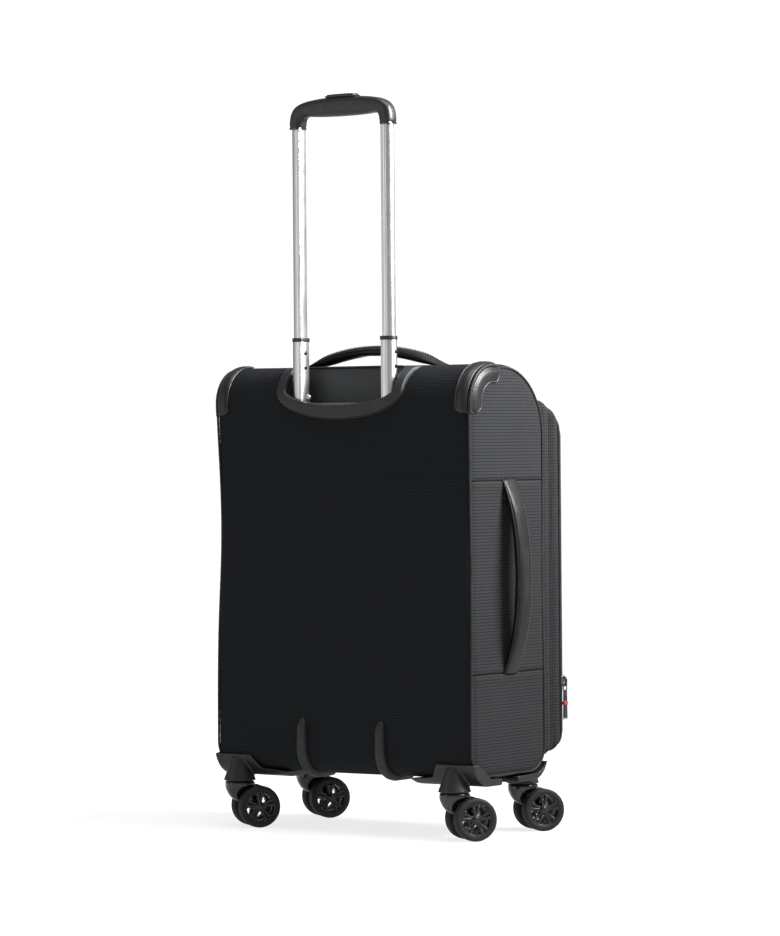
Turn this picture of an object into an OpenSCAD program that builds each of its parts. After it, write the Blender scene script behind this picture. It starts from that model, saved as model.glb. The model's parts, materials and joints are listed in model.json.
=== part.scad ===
// Softside upright suitcase: a padded case with a zipped lid, a two-stage trolley handle and
// four twin-wheel casters. The origin is on the floor under the middle of the case, +Z is up,
// -Y is the lid side and +Y is the trolley side.

/* [Case] */
// Width over the two side panels
case_w = 372; // [364:1:380]
// Distance from the origin back to the back panel's outer face
back_y = 76; // [76:1:80]
// Distance from the origin forward to the case's front seam
seam_y = 77; // [74:1:80]
// Height of the top panel above the floor
case_top = 549; // [545:1:552]
// Height of the case's underside above the floor
case_bottom = 69; // [68:1:70]
// Thickness of a padded panel
wall = 2.5; // [2:0.5:3]
// Radius of the edge between the back and the top
top_back_r = 45; // [40:1:50]
// Radius of the edge between the top and the front
top_front_r = 82; // [76:1:88]
// Radius of the edge between the back and the underside
bottom_back_r = 30; // [28:1:32]

/* [Lid and front] */
// Width of the gusset and the lid
lid_w = 362; // [350:1:366]
// Distance from the origin forward to the main zip
zip_y = 97; // [95:1:100]
// Distance from the origin forward to the wall between lid and front pocket
pocket_y = 113; // [111:1:115]
// Distance from the origin forward to the front pocket's face
front_y = 124; // [122:1:127]
// Height of the gusset's top above the floor
lid_top = 507; // [500:1:510]
// Height of the gusset's underside above the floor
lid_bottom = 88; // [88:1:92]

/* [Handles] */
// Span of the top handle, end to end
top_handle_w = 200; // [180:2:210]
// Height of the top handle's crown above the top panel
top_handle_h = 23; // [20:1:28]
// How far the side handle's crown stands out from the side panel
side_handle_h = 26; // [22:1:28]
// Thickness of both padded handles
handle_t = 12; // [10:1:13]

/* [Trolley] */
// Distance from the middle to each trolley tube's axis
tube_x = 66; // [64:1:68]
// Width of the inner tube across its flat and its round side
tube_w = 13.8; // [13:0.1:14.5]
// Wall thickness of each aluminium tube
tube_t = 1; // [0.8:0.1:1.2]
// Height of the recess floor that the tubes come out of
recess_z = 512; // [510:1:514]
// Height of the middle tubes' upper end
mid_top = 581; // [579:1:583]
// Height of the grip's top
grip_top = 866; // [860:1:870]

/* [Casters] */
// Diameter of each wheel
wheel_d = 50; // [48:1:51]
// Width over a pair of wheels
pair_w = 44; // [42:1:46]
// Distance from the swivel axis back to the axle
trail = 19.5; // [18:0.5:21]
// Distance from the middle to each swivel axis, sideways
swivel_x = 157; // [154:1:160]
// Distance from the middle to each swivel axis, front and back
swivel_y = 70; // [68:1:72]
// Direction that the wheels trail in, in degrees from +X
heading = 234; // [0:1:359]

/* [Hidden] */

// Case outline, seen from the side
bottom_front_r = 32;
half_w = case_w / 2;
inside_w = case_w - 2 * wall;
arc_steps = 10;
big = 400;
top_back_c = [back_y - top_back_r, case_top - top_back_r];
top_front_c = [top_front_r - seam_y, case_top - top_front_r];
bottom_front_c = [bottom_front_r - seam_y, case_bottom + bottom_front_r];
bottom_back_c = [back_y - bottom_back_r, case_bottom + bottom_back_r];

// Front form, seen from the side and from the front
front_top_drop = 58;
front_bottom_rise = 29;
front_lean = 2;
lid_corner_r = 16;
lid_wall = 3;
part_gap = 0.3;
pocket_zip_y = 117.5;

// Guards and skids
guard_t = 3;
guard_bottom = 61.5;
top_guard_w = 19;
top_guard_side = 22;
top_guard_back_z = 492;
top_guard_front_y = 17;
skid_x = 57;
skid_w = 15;
skid_t = 7;
skid_top = 136.5;
skid_front_y = 12;

// Recess, surround and inner pieces
recess_w = 162;
recess_y = 41;
cup_t = 2.5;
cup_floor_t = 3;
surround_t = 5;
surround_mid = 521;
surround_low = 486.5;
surround_lip = 503.5;
surround_w = [184, 160];
surround_arm = 58;
board_y = 50;
board_t = 2.5;
strip_w = 6;
strip_corner_r = 36;
strap_x = 118;
strap_w = 38;

// Side handle and side seams
seam_low_z = 191;
seam_high_z = 414;
side_handle_w = 25;
side_handle_y = -2;

// Zip sliders: where each puller's pivot is, and how far the main one leans back to the surface
main_pos = [120, -zip_y - 3.1, 505.4];
side_pos = [-lid_w / 2 - 5.4, -pocket_zip_y, 172];
front_pos = [-90, -front_y - 5.4, 380];
main_tilt = 33;

// Trolley tubes: [width, depth] of each section's outside
tube_y = 63.8;
fit_gap = 0.35;
inner_size = [tube_w, tube_w - 0.6];
mid_size = inner_size + 2 * (tube_t + fit_gap) * [1, 1];
outer_size = mid_size + 2 * (tube_t + fit_gap) * [1, 1];
outer_bottom = 100;
base_h = 8;
mid_length = 400;
inner_bottom = 500;
grip_foot = 829.5;
tube_seat_z = 843;
collar_h = 4.5;
collar_lip = 2;

// Grip
grip_depth = 18.5;
grip_half_w = 74.6;
leg_w = 17.2;
button_half_w = 20;
button_depth = 12;
button_proud = 2;
button_travel = 3;
slot_gap = 0.3;
rod_r = 2;
rod_bottom = 520;
channel_z = [846, 853];

// Casters
wheel_r = wheel_d / 2;
tyre_t = 7;
hub_r = wheel_r - tyre_t;
wheel_gap = 7.6;
hub_bore_r = 3.05;
axle_r = 3;
pin_r = 4;
pin_bore_r = 4.05;
pin_z = [44.2, 66];
fork_top = 55.5;
fork_t = 12;
plate_z = 50.8;
plate_r = 19;
cup_r = 19.5;
cup_bottom = 56;
cup_neck_r = 9.5;
spoke_pairs = 5;

fabric = [0.20, 0.205, 0.21];
trim = [0.13, 0.13, 0.135];
plastic = [0.06, 0.06, 0.065];
alloy = [0.78, 0.79, 0.80];
steel = [0.62, 0.63, 0.65];
lining = [0.32, 0.33, 0.34];

// Points of an elliptical arc
function arc(c, rx, ry, a0, a1, n = arc_steps) =
    [for (i = [0:n]) let (a = a0 + (a1 - a0) * i / n) [c[0] + rx * cos(a), c[1] + ry * sin(a)]];
function round_arc(c, r, a0, a1) = arc(c, r, r, a0, a1);
function reversed(points) = [for (i = [len(points) - 1:-1:0]) points[i]];
function mirrored(points) = [for (p = reversed(points)) [-p[0], p[1]]];

// The case's side outline, grown by g, as an upper and a lower line in [y, z]
function upper_line(g) = concat(
    round_arc(top_back_c, top_back_r + g, 0, 90),
    round_arc(top_front_c, top_front_r + g, 90, 180));
function lower_line(g) = concat(
    round_arc(bottom_front_c, bottom_front_r + g, 180, 270),
    round_arc(bottom_back_c, bottom_back_r + g, 270, 360));
function case_outline(g) = concat(upper_line(g), lower_line(g));

// The front form's side outline in [y, z], and its front outline in [x, z], both shrunk by s
function front_outline(s) = concat(
    [[big, lid_bottom + s], [big, lid_top - s]],
    arc([-seam_y, lid_top - front_top_drop], front_y - seam_y - front_lean - s,
        front_top_drop - s, 90, 180),
    arc([-seam_y, lid_bottom + front_bottom_rise], front_y - seam_y - s,
        front_bottom_rise - s, 180, 270));
function round_box(w, z0, z1, r) = concat(
    round_arc([w / 2 - r, z1 - r], r, 0, 90), round_arc([r - w / 2, z1 - r], r, 90, 180),
    round_arc([r - w / 2, z0 + r], r, 180, 270), round_arc([w / 2 - r, z0 + r], r, 270, 360));

// A tube section: flat on its inner side, round on the side that s points to
function tube_section(size, s) = let (r = size[1] / 2, c = size[0] / 2 - r, e = size[0] / 2)
    [for (p = concat([[-e, r - 1], [1 - e, r]], reversed(round_arc([c, 0], r, -90, 90)),
                     [[1 - e, -r], [-e, 1 - r]])) [s * p[0], p[1]]];

// Draws a [y, z] outline from x0 to x1, and an [x, z] outline from y0 to y1
module along_x(x0, x1) translate([x0, 0, 0]) rotate([90, 0, 90]) linear_extrude(x1 - x0) children();
module along_y(y0, y1) translate([0, y1, 0]) rotate([90, 0, 0]) linear_extrude(y1 - y0) children();
module block(low, high) translate(low) cube(high - low);
module case_block() along_x(-half_w, half_w) polygon(case_outline(0));

module back_panel() color(fabric)
    block([wall - half_w, back_y - wall, bottom_back_c[1]], [half_w - wall, back_y, top_back_c[1]]);

module top_panel() color(fabric) difference() {
    along_x(wall - half_w, half_w - wall)
        polygon(concat(upper_line(0), reversed(upper_line(-wall))));
    block([-recess_w / 2, recess_y, recess_z - cup_floor_t], [recess_w / 2, big, big + recess_z]);
}

module bottom_panel() color(fabric) along_x(wall - half_w, half_w - wall)
    polygon(concat(lower_line(0), reversed(lower_line(-wall))));

module side_panel(x) color(fabric) along_x(x, x + wall) polygon(case_outline(0));
module side_panel_left() side_panel(-half_w);
module side_panel_right() side_panel(half_w - wall);

// The front form between two planes, hollowed to the lid's wall from its back
module front_form(y0, y1, s) intersection() {
    along_x(s - lid_w / 2, lid_w / 2 - s) polygon(front_outline(s));
    along_y(y0, y1) polygon(round_box(lid_w - 2 * s, lid_bottom + s, lid_top - s, lid_corner_r - s));
}

module gusset() color(fabric) difference() {
    front_form(-zip_y, -seam_y, 0);
    front_form(-zip_y - 1, 1 - seam_y, lid_wall);
}

module lid_tray() color(fabric) difference() {
    front_form(-pocket_y, -zip_y - part_gap, 0);
    front_form(lid_wall - pocket_y, 1 - zip_y, lid_wall);
}

module front_pocket() color(fabric) difference() {
    front_form(-front_y, -pocket_y, 0);
    front_form(lid_wall - front_y, 1 - pocket_y, lid_wall);
}

module frame_strip() color(steel) difference() {
    along_y(3 - seam_y, 6 - seam_y)
        polygon(round_box(inside_w - 1, bottom_front_c[1] - 4, top_front_c[1], strip_corner_r));
    along_y(2 - seam_y, 7 - seam_y)
        polygon(round_box(inside_w - 1 - 2 * strip_w, bottom_front_c[1] - 4 + strip_w,
                          top_front_c[1] - strip_w, strip_corner_r - strip_w));
}

module back_board() color(lining)
    block([-half_w + wall + 1, board_y, case_bottom + 8],
          [half_w - wall - 1, board_y + board_t, recess_z - cup_floor_t - 3]);

module packing_straps() color(lining) for (s = [-1, 1])
    block([s * strap_x - strap_w / 2, board_y - 2, case_bottom + 20],
          [s * strap_x + strap_w / 2, board_y, recess_z - 22]);

// Top corner guards: a band over the back edge and a flange on the side panel
module corner_guards() color(trim) for (s = [-1, 1]) difference() {
    intersection() {
        along_x(s > 0 ? half_w + guard_t - top_guard_w : -half_w - guard_t,
                s > 0 ? half_w + guard_t : top_guard_w - half_w - guard_t)
            polygon(concat(
                [[back_y - top_guard_side, top_guard_back_z], [back_y + guard_t, top_guard_back_z]],
                round_arc(top_back_c, top_back_r + guard_t, 0, 90),
                [[top_guard_front_y, case_top + guard_t],
                 [top_guard_front_y, case_top - 5 ]],
                reversed(round_arc(top_back_c, top_back_r - top_guard_side, 0, 90))));
    }
    case_block();
}

module back_skids() color(plastic) for (s = [-1, 1]) difference() {
    along_x(s * skid_x - skid_w / 2, s * skid_x + skid_w / 2) polygon(concat(
        [[back_y - 5, skid_top], [back_y + 4, skid_top - 2], [back_y + skid_t, skid_top - 10]],
        round_arc(bottom_back_c, bottom_back_r + skid_t, 360, 270),
        [[skid_front_y + 4, case_bottom - skid_t], [skid_front_y, case_bottom - 4],
         [skid_front_y, case_bottom + 10]]));
    case_block();
}

// A padded arch from [-span/2, 0] to [span/2, 0], with its crown h above
function arch(span, h, t) = let (foot = span * 0.23) concat(
    arc([0, 0], span / 2, h, 0, 180, 24), arc([0, 0], span / 2 - foot + 2, h - t, 180, 0, 24));

module top_handle() color(trim) translate([0, 0, case_top])
    along_y(-handle_t, handle_t) polygon(arch(top_handle_w, top_handle_h + 1, handle_t));

module side_handle() color(trim) translate([-half_w, 0, (seam_low_z + seam_high_z) / 2])
    rotate([0, -90, 0]) along_y(-side_handle_w / 2 + side_handle_y, side_handle_w / 2 + side_handle_y)
        polygon(arch(seam_high_z - seam_low_z, side_handle_h, handle_t));

// Crescent moulding under the recess, with an arm on each side that runs up over the edge
module trolley_surround() color(plastic) intersection() {
    along_x(-big, big) polygon(concat(
        [[back_y, recess_z - 40], [back_y + surround_t, recess_z - 40]],
        round_arc(top_back_c, top_back_r + surround_t, 0, surround_arm),
        reversed(round_arc(top_back_c, top_back_r, 0, surround_arm))));
    along_y(0, big) polygon(concat(
        [[-surround_w[0] / 2, big + recess_z]],
        arc([0, surround_mid], surround_w[0] / 2, surround_mid - surround_low, 180, 360, 24),
        [[surround_w[0] / 2, big + recess_z], [surround_w[1] / 2, big + recess_z]],
        arc([0, surround_mid], surround_w[1] / 2, surround_mid - surround_lip, 360, 180, 24),
        [[-surround_w[1] / 2, big + recess_z]]));
}

module tube_run(size, z0, z1, grow = 0) for (s = [-1, 1])
    translate([s * tube_x, tube_y, z0]) linear_extrude(z1 - z0)
        polygon(tube_section(size + 2 * grow * [1, 1], s));

module recess_cup() color(plastic) difference() {
    intersection() {
        case_block();
        block([-recess_w / 2, recess_y, recess_z - cup_floor_t], [recess_w / 2, big, big + recess_z]);
    }
    block([cup_t - recess_w / 2, recess_y + cup_t, recess_z], [recess_w / 2 - cup_t, 2 * big, 2 * big]);
    tube_run(mid_size, recess_z - 10, recess_z + 1, fit_gap);
}

module hollow_tubes(size, z0, z1) difference() {
    tube_run(size, z0, z1);
    tube_run(size, z0 - 1, z1 + 1, -tube_t);
}

module outer_tubes() color(alloy) hollow_tubes(outer_size, outer_bottom, recess_z - cup_floor_t);
module mid_tubes() color(alloy) hollow_tubes(mid_size, mid_top - mid_length, mid_top);
module inner_tubes() color(alloy) hollow_tubes(inner_size, inner_bottom, tube_seat_z);

module trolley_base() color(plastic)
    block([-tube_x - 12, board_y + board_t, outer_bottom - base_h], [tube_x + 12, tube_y + 7, outer_bottom]);

module mid_collars() color(plastic) difference() {
    tube_run(mid_size, mid_top + collar_lip - collar_h, mid_top + collar_lip, 0.6);
    tube_run(mid_size, mid_top - 20, mid_top);
    tube_run(inner_size, mid_top - 20, mid_top + 20, fit_gap);
}

function grip_half() = concat(
    [[grip_half_w - leg_w, grip_foot], [grip_half_w, grip_foot]],
    arc([grip_half_w - 24, grip_foot + 12], 24, 20.5, 0, 90, 8), [[0, grip_top]]);
function grip_under() = [[0, 842], [40, 843.5], [50, 843.5], [54, 838]];

module grip_shell() color(plastic) difference() {
    translate([0, tube_y, 0]) along_y(-grip_depth / 2, grip_depth / 2) polygon(concat(
        grip_under(), grip_half(), mirrored(grip_half()), mirrored(grip_under())));
    tube_run(inner_size, grip_foot - 1, tube_seat_z);
    block([-tube_x - 3, tube_y - 4, channel_z[0]], [tube_x + 3, tube_y + 4, channel_z[1]]);
    block([-button_half_w - slot_gap, tube_y - button_depth / 2 - slot_gap, channel_z[0]],
          [button_half_w + slot_gap, tube_y + button_depth / 2 + slot_gap, grip_top + 1]);
    for (s = [-1, 1]) translate([s * tube_x, tube_y, tube_seat_z - 1])
        cylinder(h = channel_z[0] - tube_seat_z + 2, r = rod_r + 0.5, $fn = 32);
}

module release_button() color(plastic)
    block([-button_half_w, tube_y - button_depth / 2, channel_z[0] + button_travel + 3],
          [button_half_w, tube_y + button_depth / 2, grip_top + button_proud]);

module push_rods() color(steel) {
    block([-tube_x - 2, tube_y - 3, channel_z[0] + button_travel + 0.5],
          [tube_x + 2, tube_y + 3, channel_z[0] + button_travel + 3]);
    for (s = [-1, 1]) translate([s * tube_x, tube_y, rod_bottom])
        cylinder(h = channel_z[0] + button_travel + 1 - rod_bottom, r = rod_r, $fn = 32);
}

// Zip slider: a small body on a seam, with a bridge that the puller turns on.
// It is drawn lying in the XZ plane, facing -Y, with the puller's pivot at the origin.
module slider_body() {
    block([-4, 1.5, -4], [4, 5, 9]);
    difference() {
        block([-1.6, -1.8, -2.4], [1.6, 1.6, 6.4]);
        rotate([0, 90, 0]) translate([0, 0, -5]) cylinder(h = 10, r = 0.9, $fn = 24);
    }
}

// Puller: a ring that hangs in the bridge, and a flat pull on it
module puller_body(length) {
    rotate([0, 90, 0]) translate([0, 0, -4]) cylinder(h = 8, r = 0.85, $fn = 24);
    for (s = [-1, 1]) block([s * 3.4 - 0.8, -0.85, -9], [s * 3.4 + 0.8, 0.85, 0.85]);
    block([-4.2, -1.2, -length], [4.2, 1.2, -8]);
}

module at_main() translate(main_pos) rotate([main_tilt - 90, 0, 0]) rotate([0, 90, 0]) children();
module at_side() translate(side_pos) rotate([0, 0, -90]) children();
module at_front() translate(front_pos) children();

module main_slider() color(steel) at_main() slider_body();
module main_puller() color(plastic) at_main() puller_body(34);
module side_slider() color(steel) at_side() slider_body();
module side_puller() color(plastic) at_side() puller_body(43);
module front_slider() color(steel) at_front() slider_body();
module front_puller() color(plastic) at_front() puller_body(34);

// Corner mouldings: sx and sy say which corner; back ones and front ones differ in outline
function rear_guard() = concat(
    [[66, 89], [45, 74], [40, 70], [20, 70], [18, 68], [18, 63.5], [20, guard_bottom]],
    arc(bottom_back_c, bottom_back_r + guard_t, bottom_back_c[1] - guard_bottom, 270, 343));
function front_guard() = concat(
    [[-58, 71], [-70, 77], [-77, 85]],
    arc(bottom_front_c, bottom_front_r + guard_t, bottom_front_c[1] - guard_bottom, 204, 270),
    [[-15, guard_bottom], [-13, 63.5], [-13, 68], [-15, 70], [-40, 70]]);
function guard_front_view(top) =
    [[90, case_bottom], [94, guard_bottom - 1], [192, guard_bottom - 1], [192, top], [137, top],
     [125, case_bottom + 3]];

module housing(sx, sy) color(plastic) difference() {
    union() {
        intersection() {
            along_x(sx > 0 ? 90 : -half_w - guard_t, sx > 0 ? half_w + guard_t : -90)
                polygon(sy > 0 ? rear_guard() : front_guard());
            along_y(-big, big) polygon([for (p = guard_front_view(90)) [sx * p[0], p[1]]]);
        }
        translate([sx * swivel_x, sy * swivel_y, cup_bottom])
            cylinder(h = 28, r1 = cup_r, r2 = cup_neck_r, $fn = 64);
    }
    case_block();
    translate([sx * swivel_x, sy * swivel_y, pin_z[0]])
        cylinder(h = pin_z[1] - pin_z[0], r = pin_r, $fn = 48);
}

module swivel_pins() color(steel) for (sx = [-1, 1], sy = [-1, 1])
    translate([sx * swivel_x, sy * swivel_y, pin_z[0]])
        cylinder(h = pin_z[1] - pin_z[0], r = pin_r, $fn = 48);

// Caster pieces are drawn with the swivel axis on Z and the wheels trailing along +X
module at_caster(sx, sy) translate([sx * swivel_x, sy * swivel_y, 0]) rotate([0, 0, heading]) children();
module on_axle(y0) translate([trail, y0, wheel_r]) rotate([-90, 0, 0]) children();

module fork(sx, sy) color(plastic) at_caster(sx, sy) difference() {
    union() {
        translate([0, 0, plate_z]) cylinder(h = fork_top - plate_z, r = plate_r, $fn = 64);
        along_y(-fork_t / 2, fork_t / 2) polygon(concat(
            arc([2, plate_z + 1], plate_r + 1, 24, 180, 270),
            [[trail, wheel_r - 6.5], [trail + 6.5, wheel_r], [plate_r, plate_z + 1]]));
        on_axle(-fork_t / 2) cylinder(h = fork_t, r = 6.5, $fn = 48);
    }
    translate([0, 0, pin_z[0] - 0.5]) cylinder(h = 20, r = pin_bore_r, $fn = 48);
    on_axle(-fork_t) cylinder(h = 2 * fork_t, r = axle_r, $fn = 48);
}

module axle(sx, sy) color(steel) at_caster(sx, sy)
    on_axle(0.5 - pair_w / 2) cylinder(h = pair_w - 1, r = axle_r, $fn = 48);

// Wheels: side is -1 or 1 along the axle, and the disc is open between and inside paired spokes
module wheel_at(sx, sy, side) at_caster(sx, sy) translate([trail, 0, wheel_r])
    rotate([-90 * side, 0, 0]) children();

function sector(r0, r1, a) = concat(arc([0, 0], r0, r0, -a, a, 4), arc([0, 0], r1, r1, a, -a, 4));

module hub(sx, sy, side) color(plastic) wheel_at(sx, sy, side) difference() {
    union() {
        translate([0, 0, wheel_gap + 1]) cylinder(h = pair_w / 2 - wheel_gap - 2, r = hub_r, $fn = 64);
        translate([0, 0, wheel_gap]) cylinder(h = pair_w / 2 - wheel_gap - 0.3, r = 6.5, $fn = 48);
    }
    translate([0, 0, -1]) cylinder(h = pair_w, r = hub_bore_r, $fn = 48);
    for (i = [0:spoke_pairs - 1]) rotate([0, 0, i * 360 / spoke_pairs]) {
        linear_extrude(pair_w) polygon(sector(8.5, hub_r - 2.5, 21));
        rotate([0, 0, 180 / spoke_pairs]) linear_extrude(pair_w) polygon(sector(9, hub_r - 3, 4.5));
    }
}

module tyre(sx, sy, side) color(trim) wheel_at(sx, sy, side) rotate_extrude($fn = 96) polygon([
    [hub_r, wheel_gap], [wheel_r - 2, wheel_gap], [wheel_r, wheel_gap + 2.2],
    [wheel_r, pair_w / 2 - 2.2], [wheel_r - 2, pair_w / 2], [hub_r, pair_w / 2]]);

back_panel();
top_panel();
bottom_panel();
side_panel_left();
side_panel_right();
gusset();
frame_strip();
back_board();
corner_guards();
back_skids();
top_handle();
side_handle();
trolley_surround();
recess_cup();
outer_tubes();
trolley_base();
packing_straps();
swivel_pins();
lid_tray();
front_pocket();
main_slider();
main_puller();
side_slider();
side_puller();
front_slider();
front_puller();
mid_tubes();
mid_collars();
inner_tubes();
grip_shell();
release_button();
push_rods();
housing(-1, 1);  // housing_rear_left
housing(1, 1);  // housing_rear_right
housing(-1, -1);  // housing_front_left
housing(1, -1);  // housing_front_right
fork(-1, 1);  // fork_rear_left
fork(1, 1);  // fork_rear_right
fork(-1, -1);  // fork_front_left
fork(1, -1);  // fork_front_right
axle(-1, 1);  // axle_rear_left
axle(1, 1);  // axle_rear_right
axle(-1, -1);  // axle_front_left
axle(1, -1);  // axle_front_right
hub(-1, 1, -1);  // hub_rear_left_a
hub(-1, 1, 1);  // hub_rear_left_b
hub(1, 1, -1);  // hub_rear_right_a
hub(1, 1, 1);  // hub_rear_right_b
hub(-1, -1, -1);  // hub_front_left_a
hub(-1, -1, 1);  // hub_front_left_b
hub(1, -1, -1);  // hub_front_right_a
hub(1, -1, 1);  // hub_front_right_b
tyre(-1, 1, -1);  // tyre_rear_left_a
tyre(-1, 1, 1);  // tyre_rear_left_b
tyre(1, 1, -1);  // tyre_rear_right_a
tyre(1, 1, 1);  // tyre_rear_right_b
tyre(-1, -1, -1);  // tyre_front_left_a
tyre(-1, -1, 1);  // tyre_front_left_b
tyre(1, -1, -1);  // tyre_front_right_a
tyre(1, -1, 1);  // tyre_front_right_b
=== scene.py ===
import json
import math

import bmesh
import bpy
import numpy as np
from mathutils import Matrix, Vector


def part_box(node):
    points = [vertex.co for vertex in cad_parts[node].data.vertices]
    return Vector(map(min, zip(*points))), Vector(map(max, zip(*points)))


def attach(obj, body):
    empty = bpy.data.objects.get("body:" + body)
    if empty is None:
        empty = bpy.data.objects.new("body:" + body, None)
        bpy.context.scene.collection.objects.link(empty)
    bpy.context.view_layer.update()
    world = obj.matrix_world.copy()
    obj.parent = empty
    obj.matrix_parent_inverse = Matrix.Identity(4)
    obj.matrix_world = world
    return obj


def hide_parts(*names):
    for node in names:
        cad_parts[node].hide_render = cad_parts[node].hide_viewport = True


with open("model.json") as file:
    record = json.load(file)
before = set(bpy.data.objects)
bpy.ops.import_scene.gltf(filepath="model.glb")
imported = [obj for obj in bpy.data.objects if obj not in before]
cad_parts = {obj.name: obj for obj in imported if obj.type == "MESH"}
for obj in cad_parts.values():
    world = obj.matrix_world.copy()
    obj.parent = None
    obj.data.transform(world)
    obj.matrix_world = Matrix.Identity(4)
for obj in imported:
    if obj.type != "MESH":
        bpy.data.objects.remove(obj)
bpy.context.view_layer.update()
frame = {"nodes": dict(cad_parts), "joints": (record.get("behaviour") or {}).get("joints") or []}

# The script works in millimetres; Blender's objects are in metres.
MM = 0.001
LEFT, RIGHT = -1, 1
SIDE_NAMES = {LEFT: "left", RIGHT: "right"}
CASTERS = ("rear_left", "rear_right", "front_left", "front_right")


# ---------------------------------------------------------------- sizes taken from the frame

def box_mm(node):
    """The lowest and the highest corner of a CAD node, in millimetres."""
    low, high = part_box(node)
    return np.array(low) / MM, np.array(high) / MM


def joint(name):
    """A joint's point in millimetres, and its axis."""
    row = next(j for j in frame["joints"] if j["name"] == name)
    return np.array(row["pos_m"], float) / MM, np.array(row["axis"], float)


case_low, case_high = box_mm("side_panel_right")
case_low[0] = -case_high[0]
HALF_W = case_high[0]
BACK_Y, FRONT_Y = case_high[1], case_low[1]
TOP_Z, BOTTOM_Z = case_high[2], case_low[2]
BACK_LOW_Z, BACK_HIGH_Z = box_mm("back_panel")[0][2], box_mm("back_panel")[1][2]
TOP_BACK_R = TOP_Z - BACK_HIGH_Z
TOP_FRONT_R = TOP_Z - box_mm("top_panel")[0][2]
BOTTOM_BACK_R = BACK_LOW_Z - BOTTOM_Z
BOTTOM_FRONT_R = box_mm("bottom_panel")[1][2] - BOTTOM_Z
# Corners of the side outline: centre y and z, radius, and the angle that each starts at
CORNERS = [
    (FRONT_Y + BOTTOM_FRONT_R, BOTTOM_Z + BOTTOM_FRONT_R, BOTTOM_FRONT_R, 180),
    (BACK_Y - BOTTOM_BACK_R, BOTTOM_Z + BOTTOM_BACK_R, BOTTOM_BACK_R, 270),
    (BACK_Y - TOP_BACK_R, TOP_Z - TOP_BACK_R, TOP_BACK_R, 0),
    (FRONT_Y + TOP_FRONT_R, TOP_Z - TOP_FRONT_R, TOP_FRONT_R, 90),
]

# ---------------------------------------------------------------- mesh tools

def ease(t):
    """0 below 0, 1 above 1, and smooth between."""
    t = np.clip(t, 0, 1)
    return t * t * (3 - 2 * t)


def bump_at(t, middle, width):
    """A smooth hump of height 1."""
    return np.exp(-((t - middle) / width) ** 2)


def linked(name, data):
    """A new object in the scene."""
    found = bpy.data.objects.new(name, data)
    bpy.context.scene.collection.objects.link(found)
    return found


def together(*parts):
    """Coordinates side by side in one array; single numbers are repeated."""
    return np.stack(np.broadcast_arrays(*parts), axis=-1).astype(float)


def new_piece(name, points, faces, material, uv=None):
    """A mesh object from points in millimetres; uv is one pair a point, in millimetres along the cloth."""
    mesh = bpy.data.meshes.new(name)
    mesh.from_pydata((np.asarray(points, float) * MM).tolist(), [], faces)
    mesh.shade_smooth()
    mesh.materials.append(material)
    if uv is not None:
        corner = np.zeros(len(mesh.loops), int)
        mesh.loops.foreach_get("vertex_index", corner)
        layer = mesh.uv_layers.new(name="cloth")
        layer.data.foreach_set("uv", (np.asarray(uv, float)[corner] * MM).ravel())
    return linked(name, mesh)


def settle(piece):
    """Applies a piece's modifiers."""
    found = piece.evaluated_get(bpy.context.evaluated_depsgraph_get())
    mesh = bpy.data.meshes.new_from_object(found)
    piece.modifiers.clear()
    piece.data = mesh
    return piece


def thicken(piece, thickness, offset=-1.0, inner=None):
    """Gives a sheet its thickness, and its inner face a material of its own."""
    solid = piece.modifiers.new("thickness", "SOLIDIFY")
    solid.thickness = thickness * MM
    solid.offset = offset
    if inner is not None:
        piece.data.materials.append(inner)
        solid.material_offset = 1
    return settle(piece)


def soften(piece, levels=1):
    """Adds subdivision to a piece and applies it."""
    subdivision = piece.modifiers.new("soft", "SUBSURF")
    subdivision.levels = subdivision.render_levels = levels
    return settle(piece)


def face_outward(piece, weld=False):
    """Turns the faces of a closed mesh outward; weld first merges the points that lie together."""
    work = bmesh.new()
    work.from_mesh(piece.data)
    if weld:
        bmesh.ops.remove_doubles(work, verts=work.verts, dist=1e-6)
        bmesh.ops.dissolve_degenerate(work, edges=work.edges, dist=1e-7)
    bmesh.ops.recalc_face_normals(work, faces=work.faces)
    work.to_mesh(piece.data)
    work.free()
    return piece


def joined(name, pieces):
    """One object made of several."""
    with bpy.context.temp_override(active_object=pieces[0], selected_editable_objects=pieces):
        bpy.ops.object.join()
    pieces[0].name = name
    pieces[0].data.name = name
    return pieces[0]


def finish_piece(piece, body, slot, *nodes):
    """Rides a piece on its body and hides the CAD nodes that it stands for; the slot is not used."""
    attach(piece, body)
    if nodes:
        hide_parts(*nodes)
    return piece


def grid_faces(rows, columns, wrap_rows=False, wrap_columns=False, keep=None):
    """The four-sided faces of a grid of points, row by row; keep(row, column) says which stay."""
    faces = []
    for r in range(rows if wrap_rows else rows - 1):
        for c in range(columns if wrap_columns else columns - 1):
            if keep is None or keep(r, c):
                r2, c2 = (r + 1) % rows, (c + 1) % columns
                faces.append((r * columns + c, r * columns + c2, r2 * columns + c2, r2 * columns + c))
    return faces


def grid_piece(name, grid, material, uv=None, flip=False, cap=False, **wrap):
    """A sheet from an array of points, rows by columns; cap closes its last row."""
    grid = np.asarray(grid, float)
    rows, columns = grid.shape[:2]
    faces = grid_faces(rows, columns, **wrap)
    if cap:
        faces.append(tuple(range((rows - 1) * columns, rows * columns)))
    if flip:
        faces = [face[::-1] for face in faces]
    pairs = None if uv is None else np.asarray(uv, float).reshape(-1, 2)
    return new_piece(name, grid.reshape(-1, 3), faces, material, pairs)


def lengths(path, closed=False):
    """The distance along a path at each of its points."""
    path = np.asarray(path, float)
    if closed:
        path = np.vstack([path, path[:1]])
    steps = np.linalg.norm(np.diff(path, axis=0), axis=1)
    return np.concatenate([[0], np.cumsum(steps)])


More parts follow.
